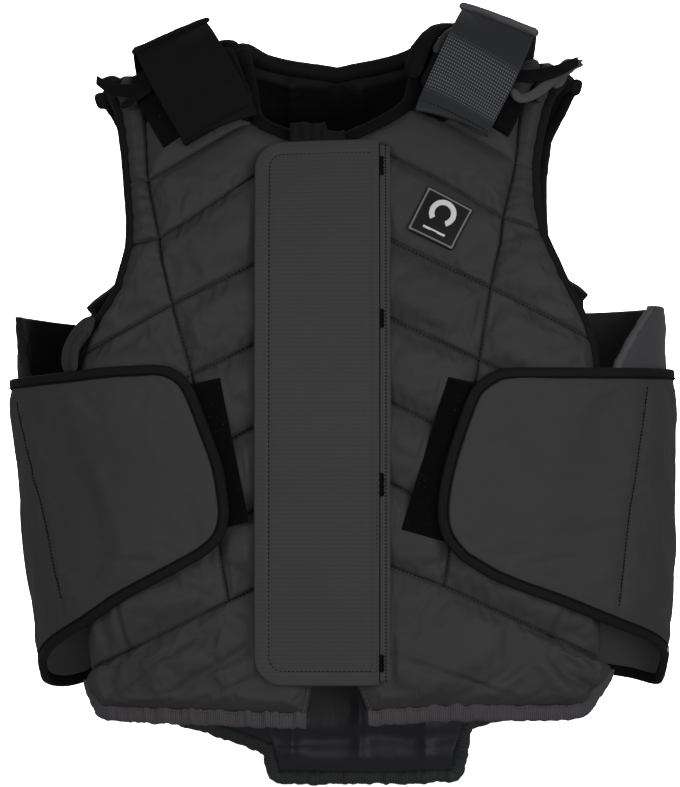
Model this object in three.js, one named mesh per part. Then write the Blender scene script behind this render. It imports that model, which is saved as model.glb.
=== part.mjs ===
// Equestrian body protector: a padded riding vest that opens down the front.
// Two quilted front pads and one back pad with a tail hang from the shoulders, and hook-and-loop
// straps join them over the shoulders. A zip under a storm flap closes the front. A wing sewn to
// each side of the back pad wraps forward and grips a loop patch on the front pad.
// Millimetres, +Z up, the front faces -Y, and +X is the right of someone looking at the front.
// The origin is where the wearer's shoulders carry it: midway between them, under the pads.
import * as THREE from "three";
import { mergeVertices } from "three/addons/utils/BufferGeometryUtils.js";

// Overall form
const HALF_WIDTH = 235;
const HALF_DEPTH = 120;
const DROP = 500; // shoulder seat down to the front hem
const SECTION_POWER = 2.4; // 2 is an ellipse, more is squarer
const SHOULDER_SLOPE = 0.34;
const SLOPE_FROM = 70; // the shoulders start to fall this far from the middle
const LEAN = 0.03; // the vest hangs with its right shoulder a little higher
const GAP = 0.3; // between pieces that meet

// Pads
const PAD_THICKNESS = 22;
const CHANNEL_DEPTH = 6.5;
const CHANNEL_REACH = 9;
const RIM_DEPTH = 8;
const RIM_REACH = 14;
const RIM_THICKNESS = 9;
const SQUARED_REACH = 10; // the pads' ends are squared over this length
const SHOULDER_GAP = 0.8; // front pad to back pad, at the top of the shoulder

// Trim on the pads' edges
const NECK_BINDING = 7;
const ARM_BINDING = 5.5;
const ARM_BINDING_START = 25; // the armhole's binding reaches this far below line 3
const HEM_TAPE = 10;
const HEM_TAPE_THICKNESS = 5;
const TAIL_BINDING = 8;
const BINDING_GAP = 0.98; // along twisting edges
const BINDING_OVERHANG = 1.6; // the binding is this much fatter than the rim, each way

// Zip and storm flap
const ZIP_X = -8;
const ZIP_WIDTH = 4.4;
const ZIP_THICKNESS = 5;
const ZIP_RISE = 0.6; // the teeth stand above the rims beside them
const SLIDER_WIDTH = 6;
const SLIDER_LENGTH = 16;
const SLIDER_THICKNESS = 4.5;
const FLAP_LEFT = 50; // from the zip's middle to the flap's free edge
const FLAP_RIGHT = 37.5; // from the zip's middle to the flap's sewn edge
const FLAP_THICKNESS = 3;
const FLAP_CORNER = 20;
const FLAP_BELOW_FLARE = 13;
const FLAP_LIFT = 0.6;
const SEAM_STRIP = 7.5;

// Wings round the sides
const WING_LIFT = 3.2; // clears the loop patch
const WING_RISE_RUN = 70; // from its seam on the back pad until it lies flush
const SEWN_GAP = 0.7;
const WING_THICKNESS = 4;
const WING_BINDING = 8.4;
const BINDING_PROUD = 0.5;
const PATCH_LIFT = 0.5;
const PATCH_THICKNESS = 2.2;
const TAB_THICKNESS = 3.4;
const TAB_CLEARANCE = 1.3; // under the wing
const TAB_BINDING = 7;

// Shoulder straps
const STRAP_WIDTH = 52;
const STRAP_THICKNESS = 2.6;
const SHOULDER_PATCH_WIDTH = 66;
const SHOULDER_PATCH_THICKNESS = 1.8;
const BAND_WIDTH = 12;
const BAND_THICKNESS = 2;
const BAND_LIFT = 3;

// Badge
const BADGE_SIDE = 36;
const BADGE_THICKNESS = 2.2;
const BADGE_TURN = 25.6; // degrees

// Side view of the outer face, from below the front hem over the shoulder to below the tail.
// y is a share of HALF_DEPTH, z a share of DROP.
const PROFILE = [
  { at: "below front hem", y: -0.85, z: -1.1 },
  { at: "front hem", y: -0.87, z: -1.0 },
  { at: "waist", y: -0.94, z: -0.8 },
  { at: "ribs", y: -0.985, z: -0.6 },
  { at: "chest", y: -0.98, z: -0.41 },
  { at: "upper chest", y: -0.9, z: -0.25 },
  { at: "collarbone", y: -0.75, z: -0.13 },
  { at: "front of shoulder", y: -0.517, z: -0.024 },
  { at: "front rise", y: -0.267, z: 0.058 },
  { at: "shoulder top", y: 0, z: 0.088 },
  { at: "back rise", y: 0.275, z: 0.06 },
  { at: "back of shoulder", y: 0.583, z: -0.028 },
  { at: "shoulder blade", y: 0.817, z: -0.144 },
  { at: "mid back", y: 0.933, z: -0.32 },
  { at: "loin", y: 0.9, z: -0.56 },
  { at: "back waist", y: 0.817, z: -0.78 },
  { at: "tail", y: 0.833, z: -1.04 },
  { at: "below tail", y: 0.84, z: -1.16 },
].map((row) => ({ ...row, y: row.y * HALF_DEPTH, z: row.z * DROP }));

// Half-widths of the horizontal sections, as shares of HALF_WIDTH.
const GIRTH = [
  { z: -1.16, left: 0.84, right: 0.95 },
  { z: -0.83, left: 0.89, right: 0.99 },
  { z: -0.66, left: 0.935, right: 1.005 },
  { z: -0.42, left: 0.98, right: 1.01 },
  { z: -0.25, left: 0.98, right: 1.0 },
  { z: 0.1, left: 0.96, right: 0.975 },
].map((row) => ({
  z: row.z * DROP,
  left: row.left * HALF_WIDTH,
  right: row.right * HALF_WIDTH,
}));

// The front pads, a row for each line across, from the hem to the shoulder. The columns are how
// far the inner edge stands back from the zip, the long seam and the outer edge: each x a share of
// HALF_WIDTH, each z a share of DROP. A sewn row is a quilting channel, and a top row ends at the
// shoulder's top.
const FRONT_ROWS = {
  left: [
    { at: "hem", x: [0.048, 0.387, 0.73], z: [-0.899, -0.895, -0.893] },
    { at: "flare", x: [0.024, 0.36, 0.785], z: [-0.83, -0.812, -0.862] },
    { at: "line 7", x: [0, 0.328, 0.769], z: [-0.679, -0.739, -0.842], sewn: true, corner: true },
    { at: "line 6", x: [0, 0.366, 0.789], z: [-0.561, -0.638, -0.739], sewn: true },
    { at: "line 5", x: [0, 0.402, 0.795], z: [-0.447, -0.528, -0.623], sewn: true },
    { at: "line 4", x: [0, 0.441, 0.798], z: [-0.33, -0.419, -0.507], sewn: true },
    { at: "line 3", x: [0, 0.5, 0.783], z: [-0.214, -0.319, -0.391], sewn: true },
    { at: "neck corner", x: [0, 0.53, 0.665], z: [-0.087, -0.259, -0.297], corner: true },
    { at: "line 2", x: [0.055, 0.542, 0.63], z: [-0.086, -0.223, -0.231], sewn: true },
    { at: "line 1", x: [0.214, 0.581, 0.642], z: [-0.053, -0.137, -0.137], sewn: true },
    { at: "rise", x: [0.25, 0.595, 0.665], z: [0.004, -0.055, -0.052] },
    { at: "shoulder", x: [0.286, 0.62, 0.715], top: true },
  ],
  right: [
    { at: "hem", x: [0.116, 0.307, 0.755], z: [-0.895, -0.889, -0.89] },
    { at: "flare", x: [0.07, 0.31, 0.85], z: [-0.83, -0.81, -0.845] },
    { at: "line 7", x: [0, 0.322, 0.816], z: [-0.658, -0.718, -0.826], sewn: true, corner: true },
    { at: "line 6", x: [0, 0.36, 0.813], z: [-0.532, -0.617, -0.714], sewn: true },
    { at: "line 5", x: [0, 0.393, 0.807], z: [-0.417, -0.511, -0.599], sewn: true },
    { at: "line 4", x: [0, 0.429, 0.801], z: [-0.3, -0.398, -0.48], sewn: true },
    { at: "line 3", x: [0, 0.465, 0.777], z: [-0.188, -0.295, -0.368], sewn: true },
    { at: "neck corner", x: [0, 0.494, 0.682], z: [-0.081, -0.231, -0.276], corner: true },
    { at: "line 2", x: [0.068, 0.506, 0.622], z: [-0.08, -0.193, -0.21], sewn: true },
    { at: "line 1", x: [0.247, 0.548, 0.605], z: [-0.032, -0.112, -0.119], sewn: true },
    { at: "rise", x: [0.29, 0.565, 0.64], z: [0.02, -0.04, -0.03] },
    { at: "shoulder", x: [0.352, 0.62, 0.715], top: true },
  ],
};

// The back pad, a row for each line across, from the hem and tail to the shoulder. The columns are
// the middle (or the neckline above it), three lengthwise channels and the side.
const BACK_ROWS = {
  left: [
    { at: "hem", x: [0, 0.19, 0.212, 0.3, 0.8], z: [-1.014, -1.013, -0.972, -0.955, -0.88], corner: true },
    { at: "tail top", x: [0, 0.13, 0.3, 0.53, 0.8], z: [-0.86, -0.86, -0.85, -0.835, -0.82], sewn: true },
    { at: "waist", x: [0, 0.11, 0.33, 0.55, 0.8], z: [-0.7, -0.7, -0.7, -0.7, -0.7], sewn: true },
    { at: "ribs", x: [0, 0.11, 0.33, 0.55, 0.8], z: [-0.54, -0.54, -0.54, -0.54, -0.54], sewn: true },
    { at: "arm pit", x: [0, 0.11, 0.33, 0.55, 0.8], z: [-0.38, -0.38, -0.375, -0.355, -0.325], sewn: true, corner: true },
    { at: "blade", x: [0, 0.11, 0.33, 0.51, 0.665], z: [-0.23, -0.23, -0.23, -0.24, -0.26], sewn: true },
    { at: "upper arm", x: [0, 0.11, 0.34, 0.5, 0.652], z: [-0.1, -0.1, -0.11, -0.13, -0.155] },
    { at: "neck", x: [0, 0.2, 0.38, 0.52, 0.655], z: [0.036, 0.0, -0.02, -0.045, -0.07], corner: true },
    { at: "nape side", x: [0.22, 0.34, 0.46, 0.58, 0.7], z: [0.055, 0.045, 0.03, 0.008, -0.02] },
    { at: "shoulder", x: [0.33, 0.43, 0.53, 0.64, 0.745], top: true },
  ],
  right: [
    { at: "hem", x: [0, 0.2, 0.375, 0.405, 0.8], z: [-1.014, -1.014, -1.01, -0.935, -0.88], corner: true },
    { at: "tail top", x: [0, 0.13, 0.36, 0.52, 0.8], z: [-0.86, -0.86, -0.86, -0.835, -0.82], sewn: true },
    { at: "waist", x: [0, 0.11, 0.33, 0.55, 0.8], z: [-0.7, -0.7, -0.7, -0.7, -0.7], sewn: true },
    { at: "ribs", x: [0, 0.11, 0.33, 0.55, 0.8], z: [-0.54, -0.54, -0.54, -0.54, -0.54], sewn: true },
    { at: "arm pit", x: [0, 0.11, 0.33, 0.55, 0.8], z: [-0.38, -0.38, -0.375, -0.345, -0.305], sewn: true, corner: true },
    { at: "blade", x: [0, 0.11, 0.33, 0.52, 0.68], z: [-0.23, -0.23, -0.23, -0.24, -0.25], sewn: true },
    { at: "upper arm", x: [0, 0.11, 0.34, 0.5, 0.655], z: [-0.1, -0.1, -0.11, -0.12, -0.14] },
    { at: "neck", x: [0, 0.2, 0.38, 0.52, 0.665], z: [0.036, 0.0, -0.02, -0.04, -0.06], corner: true },
    { at: "nape side", x: [0.22, 0.34, 0.46, 0.58, 0.715], z: [0.061, 0.052, 0.04, 0.02, -0.008] },
    { at: "shoulder", x: [0.33, 0.43, 0.53, 0.64, 0.75], top: true },
  ],
};

// Outlines of the wings, laid flat: g runs round the body from the front middle to the back
// middle as a share of that half girth, and z is a share of DROP. A row marked sewn is at the
// back pad's side edge.
const WING_EDGES = {
  left: {
    bottom: [
      { z: -0.865, sewn: true }, { g: 0.6, z: -0.872 }, { g: 0.552, z: -0.877 }, { g: 0.5, z: -0.862 },
      { g: 0.45, z: -0.83 }, { g: 0.343, z: -0.777 }, { g: 0.282, z: -0.739 }, { g: 0.211, z: -0.7 },
    ],
    tip: [
      { g: 0.172, z: -0.677 }, { g: 0.152, z: -0.66 }, { g: 0.141, z: -0.643 }, { g: 0.1355, z: -0.62 },
      { g: 0.1355, z: -0.595 }, { g: 0.141, z: -0.547 }, { g: 0.157, z: -0.49 }, { g: 0.173, z: -0.441 },
      { g: 0.184, z: -0.4225 }, { g: 0.203, z: -0.409 },
    ],
    top: [
      { g: 0.222, z: -0.406 }, { g: 0.282, z: -0.409 }, { g: 0.343, z: -0.416 }, { g: 0.453, z: -0.424 },
      { g: 0.55, z: -0.424 }, { z: -0.42, sewn: true },
    ],
  },
  right: {
    bottom: [
      { z: -0.858, sewn: true }, { g: 0.6, z: -0.866 }, { g: 0.54, z: -0.872 }, { g: 0.5, z: -0.85 },
      { g: 0.455, z: -0.822 }, { g: 0.341, z: -0.777 }, { g: 0.272, z: -0.746 }, { g: 0.19, z: -0.71 },
    ],
    tip: [
      { g: 0.146, z: -0.68 }, { g: 0.128, z: -0.655 }, { g: 0.1195, z: -0.631 }, { g: 0.1185, z: -0.595 },
      { g: 0.1255, z: -0.547 }, { g: 0.141, z: -0.487 }, { g: 0.157, z: -0.441 }, { g: 0.173, z: -0.423 },
      { g: 0.194, z: -0.412 },
    ],
    top: [
      { g: 0.23, z: -0.41 }, { g: 0.272, z: -0.41 }, { g: 0.415, z: -0.41 }, { g: 0.5, z: -0.412 },
      { z: -0.415, sewn: true },
    ],
  },
};

// Loop patches under the wings' tips, by their corners: shares of HALF_WIDTH and of DROP.
const LOOP_PATCHES = {
  left: {
    topIn: [0.349, -0.424],
    topOut: [0.481, -0.438],
    bottomIn: [0.262, -0.626],
    bottomOut: [0.362, -0.638],
  },
  right: {
    topIn: [0.33, -0.422],
    topOut: [0.456, -0.436],
    bottomIn: [0.191, -0.637],
    bottomOut: [0.322, -0.654],
  },
};

// Tabs at the armholes. The front edge leans, from g at the bottom to g at the top, along a curve of
// power bend, and the top edge falls to rearTop, below the back pad's armhole.
const SIDE_TABS = {
  left: { top: -0.335, rearTop: -0.345, bottom: -0.45, frontTop: 0.465, frontBottom: 0.405, bend: 1 },
  right: { top: -0.32, rearTop: -0.325, bottom: -0.45, frontTop: 0.412, frontBottom: 0.333, bend: 1.9 },
};

// Shoulder straps: where the middle of the strap lies at its front end, at the shoulder's top and
// at its back end, as shares of HALF_WIDTH, and how far it arches clear of the top.
const STRAP_RUN_FRONT = 104;
const STRAP_RUN_BACK = 96;
const STRAPS = {
  left: { front: 0.35, top: 0.5, back: 0.47, arch: 11 },
  right: { front: 0.345, top: 0.485, back: 0.46, arch: 15 },
};

// Elastic bands that come out from under the straps towards the shoulder's outer end. x is a share
// of HALF_WIDTH, ahead a share of DROP in front of the shoulder top, lift a share of BAND_WIDTH.
const SHOULDER_BANDS = {
  left: [
    { x: 0.5, ahead: 0.084, lift: 0 },
    { x: 0.6, ahead: 0.09, lift: 0.1 },
    { x: 0.68, ahead: 0.075, lift: 0.3 },
    { x: 0.73, ahead: 0.04, lift: 0.3 },
  ],
  right: [
    { x: 0.46, ahead: 0.094, lift: 0 },
    { x: 0.56, ahead: 0.098, lift: 0.15 },
    { x: 0.66, ahead: 0.075, lift: 0.5 },
    { x: 0.73, ahead: 0.035, lift: 0.5 },
  ],
};

const COLOURS = {
  shell: 0x39393a,
  flap: 0x3c3c3d,
  binding: 0x1b1b1c,
  loop: 0x0b0b0b,
  hem: 0x4b494d,
  lining: 0x141416,
  webbing: 0x2c2d2f,
  badge: 0x4a4b50,
  zip: 0x202022,
};

const SIDES = { left: -1, right: 1 };

// A smooth curve through the rows of a table: the value of column key where column along is at.
// A row marked corner breaks the smoothness there.
function through(rows, along, key, at) {
  const last = rows.length - 1;
  const rising = rows[last][along] > rows[0][along];
  let i = 0;
  while (i < last - 1 && (rising ? at > rows[i + 1][along] : at < rows[i + 1][along])) i += 1;
  const [a, b] = [rows[i], rows[i + 1]];
  const span = b[along] - a[along];
  const chord = (b[key] - a[key]) / span;
  const slope = (j) => {
    if (j === 0 || j === last || rows[j].corner) return chord;
    return (rows[j + 1][key] - rows[j - 1][key]) / (rows[j + 1][along] - rows[j - 1][along]);
  };
  const t = THREE.MathUtils.clamp((at - a[along]) / span, 0, 1);
  const [t2, t3] = [t * t, t * t * t];
  return (
    a[key] * (2 * t3 - 3 * t2 + 1) +
    slope(i) * span * (t3 - 2 * t2 + t) +
    b[key] * (3 * t2 - 2 * t3) +
    slope(i + 1) * span * (t3 - t2)
  );
}

// Length along the profile, as column w.
PROFILE.forEach((row, i) => {
  const before = PROFILE[i - 1];
  row.w = before ? before.w + Math.hypot(row.y - before.y, row.z - before.z) : 0;
});
const SHOULDER_TOP = PROFILE.find((row) => row.at === "shoulder top").w;
const PROFILE_END = PROFILE[PROFILE.length - 1].w;

// How far the shoulder falls at x, on the part of the profile at height z.
function shoulderFall(x, z) {
  const rise = THREE.MathUtils.smoothstep(z, -0.3 * DROP, -0.02 * DROP);
  const beyond = Math.abs(x) - SLOPE_FROM;
  const eased = (beyond + Math.hypot(beyond, SLOPE_FROM / 4)) / 2;
  return (SHOULDER_SLOPE * eased - LEAN * x) * rise;
}

// A point of the outer face: x across, w along the profile from front to back.
function face(x, w) {
  const y = through(PROFILE, "w", "y", w);
  const z = through(PROFILE, "w", "z", w);
  const half = through(GIRTH, "z", x < 0 ? "left" : "right", z);
  const share = Math.min(Math.abs(x) / half, 0.995);
  const wrap = (1 - share ** SECTION_POWER) ** (1 / SECTION_POWER);
  return new THREE.Vector3(x, y * wrap, z - shoulderFall(x, z));
}

// Towards the shoulder seam the normal turns into the seam's plane, so that both pads end squarely.
function outwardNormal(x, w) {
  const step = 0.6;
  const across = face(x + step, w).sub(face(x - step, w));
  const along = face(x, w + step).sub(face(x, w - step));
  const normal = across.cross(along);
  normal.y *= THREE.MathUtils.smoothstep(Math.abs(w - SHOULDER_TOP), SHOULDER_GAP, SQUARED_REACH);
  return normal.normalize();
}

// The outer face's point at (x, w), sunk by depth along the normal. Less than 0 stands proud.
function shell(x, w, depth) {
  return face(x, w).addScaledVector(outwardNormal(x, w), -depth);
}

// The w of height z at x, on the front or on the back.
function runAt(x, z, back) {
  let [low, high] = back ? [PROFILE_END, SHOULDER_TOP] : [0, SHOULDER_TOP];
  for (let i = 0; i < 40; i += 1) {
    const middle = (low + high) / 2;
    if (face(x, middle).z < z) low = middle;
    else high = middle;
  }
  return (low + high) / 2;
}

// Angles round the body at equal steps of its half girth, from the front middle to the back.
const GIRTH_TABLE = (() => {
  const steps = 360;
  const rows = [];
  let [g, lastX, lastY] = [0, 0, -HALF_DEPTH];
  for (let i = 0; i <= steps; i += 1) {
    const angle = (Math.PI * i) / steps;
    const x = HALF_WIDTH * Math.sin(angle) ** (2 / SECTION_POWER);
    const cosine = Math.cos(angle);
    const y = -Math.sign(cosine) * HALF_DEPTH * Math.abs(cosine) ** (2 / SECTION_POWER);
    g += Math.hypot(x - lastX, y - lastY);
    rows.push({ angle, g });
    [lastX, lastY] = [x, y];
  }
  return rows;
})();
const HALF_GIRTH = GIRTH_TABLE[GIRTH_TABLE.length - 1].g;

function angleAt(g) {
  const rows = GIRTH_TABLE;
  let i = 1;
  while (i < rows.length - 1 && rows[i].g < g) i += 1;
  const t = (g - rows[i - 1].g) / (rows[i].g - rows[i - 1].g);
  return THREE.MathUtils.lerp(rows[i - 1].angle, rows[i].angle, t);
}

// A point round the side at girth g and height z, standing proud by lift.
function ring(side, g, z) {
  const angle = angleAt(g);
  const cosine = Math.cos(angle);
  const w = runAt(0, z, cosine < 0);
  const half = through(GIRTH, "z", side, z);
  const x = SIDES[side] * half * Math.sin(angle) ** (2 / SECTION_POWER);
  const y = through(PROFILE, "w", "y", w) * Math.abs(cosine) ** (2 / SECTION_POWER);
  return new THREE.Vector3(x, y, z);
}

function around(side, g, z, depth) {
  const step = 1.5;
  const along = ring(side, g + step, z).sub(ring(side, g - step, z));
  const up = ring(side, g, z + step).sub(ring(side, g, z - step));
  const outward = along.cross(up).normalize();
  return ring(side, g, z).addScaledVector(outward, -depth * SIDES[side]);
}

// One closed body from a net of points: outer and inner faces, and walls round the rim. The wall
// at the first u is left out below v = openBelow, where a mirror half joins on.
function net(us, vs, place, outerDepth, innerDepth, openBelow = -Infinity) {
  const outer = vs.map((v) => us.map((u) => place(u, v, outerDepth(u, v))));
  const inner = vs.map((v) => us.map((u) => place(u, v, innerDepth(u, v))));
  const positions = [];
  const triangle = (a, b, c) => positions.push(...a.toArray(), ...b.toArray(), ...c.toArray());
  const quad = (a, b, c, d) => {
    triangle(a, b, c);
    triangle(a, c, d);
  };
  const [m, n] = [us.length - 1, vs.length - 1];
  for (let j = 0; j < n; j += 1) {
    for (let i = 0; i < m; i += 1) {
      quad(outer[j][i], outer[j][i + 1], outer[j + 1][i + 1], outer[j + 1][i]);
      quad(inner[j][i], inner[j + 1][i], inner[j + 1][i + 1], inner[j][i + 1]);
    }
    if (vs[j] >= openBelow) quad(inner[j][0], outer[j][0], outer[j + 1][0], inner[j + 1][0]);
    quad(outer[j][m], inner[j][m], inner[j + 1][m], outer[j + 1][m]);
  }
  for (let i = 0; i < m; i += 1) {
    quad(inner[0][i], inner[0][i + 1], outer[0][i + 1], outer[0][i]);
    quad(outer[n][i], outer[n][i + 1], inner[n][i + 1], inner[n][i]);
  }
  return positions;
}

function signedVolume(positions) {
  let volume = 0;
  for (let i = 0; i < positions.length; i += 9) {
    const [a, b, c] = [0, 3, 6].map((k) => new THREE.Vector3().fromArray(positions, i + k));
    volume += a.dot(b.cross(c)) / 6;
  }
  return volume;
}

// Swaps two corners of each triangle, so that the faces point the other way.
function turnedRound(positions) {
  const turned = positions.slice();
  for (let i = 0; i < turned.length; i += 9) {
    for (let k = 0; k < 3; k += 1) {
      [turned[i + 3 + k], turned[i + 6 + k]] = [turned[i + 6 + k], turned[i + 3 + k]];
    }
  }
  return turned;
}

function geometryOf(positions) {
  const facing = signedVolume(positions) < 0 ? turnedRound(positions) : positions;
  const geometry = new THREE.BufferGeometry();
  geometry.setAttribute("position", new THREE.Float32BufferAttribute(facing, 3));
  const merged = mergeVertices(geometry, 1e-3);
  merged.computeVertexNormals();
  return merged;
}

const protector = new THREE.Group();

function add(name, colour, positions, roughness = 0.85) {
  const material = new THREE.MeshStandardMaterial({ color: colour, roughness, metalness: 0 });
  const mesh = new THREE.Mesh(geometryOf(positions), material);
  mesh.name = name;
  protector.add(mesh);
}

// count + 1 even stations from a to b.
function stations(a, b, count) {
  return Array.from({ length: count + 1 }, (_, i) => a + ((b - a) * i) / count);
}

// Stations along a line with channels at some of the marks: each mark, a flank on each side of
// every channel, and even steps of about pitch between them.
function flanked(marks, isChannel, reach, pitch) {
  const found = [];
  marks.slice(0, -1).forEach((mark, i) => {
    const next = marks[i + 1];
    const from = isChannel(i) ? mark + Math.min(reach, (next - mark) / 3) : mark;
    const to = isChannel(i + 1) ? next - Math.min(reach, (next - mark) / 3) : next;
    found.push(mark);
    const steps = Math.max(1, Math.round((to - from) / pitch));
    stations(from, to, steps).forEach((v) => {
      if (v > mark && v < next) found.push(v);
    });
  });
  found.push(marks[marks.length - 1]);
  return found;
}

// How deep a sewn valley is at distance from its line.
function valley(distance, depth, reach) {
  const share = Math.min(Math.abs(distance) / reach, 1);
  return depth * (1 - share) ** 1.5;
}

// A pad laid flat: control columns across, guide rows along. Each row becomes points (x, w), and
// v is the length along the measure column.
function padPlan(side, tableRows, measure, back, innerX) {
  const sign = SIDES[side];
  const last = tableRows[0].x.length - 1;
  const seat = SHOULDER_TOP + (back ? 0.5 : -0.5) * SHOULDER_GAP;
  const rows = tableRows.map((row) => {
    const plan = { at: row.at, sewn: row.sewn, corner: row.corner, v: 0 };
    row.x.forEach((share, i) => {
      const x = sign * share * HALF_WIDTH + (i === 0 ? innerX : 0);
      plan[`x${i}`] = x;
      plan[`w${i}`] = row.top ? seat : runAt(x, row.z[i] * DROP, back);
    });
    return plan;
  });
  const [x, w] = [`x${measure}`, `w${measure}`];
  rows.forEach((row, j) => {
    const before = rows[j - 1];
    if (before) row.v = before.v + Math.hypot(row[x] - before[x], row[w] - before[w]);
  });
  const column = (i, v) => ({ x: through(rows, "v", `x${i}`, v), w: through(rows, "v", `w${i}`, v) });
  const point = (u, v) => {
    const i = THREE.MathUtils.clamp(Math.floor(u), 0, last - 1);
    const [from, to] = [column(i, v), column(i + 1, v)];
    return { x: from.x + (to.x - from.x) * (u - i), w: from.w + (to.w - from.w) * (u - i) };
  };
  const rowAt = (name) => rows.find((row) => row.at === name).v;
  return { rows, point, rowAt, end: rows[rows.length - 1].v, last };
}

// Distance along a row between two of its stations.
function spread(plan, a, b, v) {
  const [p, q] = [plan.point(a, v), plan.point(b, v)];
  return Math.hypot(p.x - q.x, p.w - q.w);
}

// Distance to the pad's edge. Where two halves join below v = joined, the inner edge starts there.
function edgeDistance(plan, u, v, joined) {
  const beside = spread(plan, u, 0, v);
  const inner = v >= joined ? beside : Math.hypot(beside, joined - v);
  return Math.min(inner, spread(plan, u, plan.last, v), v, plan.end - v);
}

// Depth of the outer face of a quilted pad: channels at the sewn rows and inner columns, a
// rounded rim at the edges.
function quiltDepth(plan, u, v, joined) {
  const depths = [valley(edgeDistance(plan, u, v, joined), RIM_DEPTH, RIM_REACH)];
  plan.rows.forEach((row) => {
    if (row.sewn) depths.push(valley(v - row.v, CHANNEL_DEPTH, CHANNEL_REACH));
  });
  for (let i = 1; i < plan.last; i += 1) {
    depths.push(valley(spread(plan, u, i, v), CHANNEL_DEPTH, CHANNEL_REACH));
  }
  return Math.max(...depths);
}

// The lining: smooth, and drawn in at the edges to meet the rim.
function liningDepth(plan, u, v, joined) {
  const rise = PAD_THICKNESS - RIM_DEPTH - RIM_THICKNESS;
  return PAD_THICKNESS - valley(edgeDistance(plan, u, v, joined), rise, RIM_REACH);
}

function padStations(plan, pitch) {
  const marks = plan.rows.map((row) => row.v);
  const isChannel = (i) => plan.rows[i].sewn || i === 0 || i === marks.length - 1;
  return flanked(marks, isChannel, CHANNEL_REACH, pitch);
}

// Stations across a pad, in the plan's own u, with a flank on each side of a column.
function columnStations(plan, inner, perColumn) {
  const across = [];
  for (let i = 0; i < plan.last; i += 1) {
    const width = spread(plan, i, i + 1, plan.end / 2);
    const flank = Math.min(CHANNEL_REACH / width, 0.3);
    const start = i === 0 && !inner ? 0 : flank;
    across.push(i, ...stations(i + start, i + 1 - flank, perColumn));
  }
  across.push(plan.last);
  return [...new Set(across)];
}

// A pad as a closed body. Below v = joined its inner edge is left open for its mirror half.
function padBody(plan, us, vs, joined = 0) {
  const place = (u, v, depth) => {
    const { x, w } = plan.point(u, v);
    return shell(x, w, depth);
  };
  const outer = (u, v) => quiltDepth(plan, u, v, joined);
  const inner = (u, v) => liningDepth(plan, u, v, joined);
  return net(us, vs, place, outer, inner, joined);
}

// A rounded bar along an edge curve, through the same stations as the edge itself. turn is 1 where
// the way out of the pad lies to the right of the curve on the flat (x, w) plan, -1 to the left.
// A bar that reaches the shoulder seam ends along the seam.
function edgeBar(curve, along, turn, width, outerDepth, innerDepth) {
  const [from, to] = [along[0], along[along.length - 1]];
  const step = (to - from) / 400;
  const place = (u, s, depth) => {
    const { x, w } = curve(s);
    const [ahead, behind] = [Math.min(s + step, to), Math.max(s - step, from)].map((at) => {
      const beside = curve(at);
      return face(beside.x, beside.w);
    });
    const outward = ahead.sub(behind).cross(outwardNormal(x, w)).normalize().multiplyScalar(turn);
    if (Math.abs(w - SHOULDER_TOP) < SHOULDER_GAP) {
      const seam = face(x + 1, w).sub(face(x - 1, w)).normalize();
      outward.copy(seam.divideScalar(seam.dot(outward)));
    }
    return shell(x, w, depth).addScaledVector(outward, BINDING_GAP + u * width);
  };
  const swell = (u) => (innerDepth - outerDepth) * 0.22 * (2 * u - 1) ** 2;
  const [outer, inner] = [(u) => outerDepth + swell(u), (u) => innerDepth - swell(u)];
  return net([0, 0.3, 0.7, 1], along, place, outer, inner);
}

const RIM_TOP = RIM_DEPTH - BINDING_OVERHANG;
const RIM_BOTTOM = RIM_DEPTH + RIM_THICKNESS + BINDING_OVERHANG;

// Front pads with their bindings and hem tapes
for (const [side, sign] of Object.entries(SIDES)) {
  const letter = side[0];
  const innerX = ZIP_X + sign * (ZIP_WIDTH / 2 + GAP);
  const plan = padPlan(side, FRONT_ROWS[side], 1, false, innerX);
  const [across, along] = [columnStations(plan, true, 2), padStations(plan, 24)];
  add(`front_pad_${letter}`, COLOURS.shell, padBody(plan, across, along));

  const neckStations = along.filter((v) => v >= plan.rowAt("neck corner"));
  const neckLine = (v) => plan.point(0, v);
  const neck = edgeBar(neckLine, neckStations, -sign, NECK_BINDING, RIM_TOP, RIM_BOTTOM);
  add(`neck_binding_${letter}`, COLOURS.binding, neck, 0.95);

  const armStations = along.filter((v) => v >= plan.rowAt("line 3") - ARM_BINDING_START);
  const armLine = (v) => plan.point(plan.last, v);
  const arm = edgeBar(armLine, armStations, sign, ARM_BINDING, RIM_TOP, RIM_BOTTOM);
  add(`arm_binding_${letter}`, COLOURS.binding, arm, 0.95);

  const hemLine = (u) => plan.point(u, 0);
  const tape = edgeBar(hemLine, across, sign, HEM_TAPE, RIM_TOP, RIM_TOP + HEM_TAPE_THICKNESS);
  add(`hem_tape_${letter}`, COLOURS.hem, tape);
}

// Back pad: two halves that share the middle column below the neck
const backHalves = {};
const backBody = [];
for (const side of Object.keys(SIDES)) {
  const plan = padPlan(side, BACK_ROWS[side], 0, true, 0);
  const [across, along] = [columnStations(plan, false, 1), padStations(plan, 40)];
  backHalves[side] = { plan, across, along };
  const body = padBody(plan, across, along, plan.rowAt("neck"));
  backBody.push(...(side === "left" ? turnedRound(body) : body));
}
add("back_pad", COLOURS.shell, backBody);

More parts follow.
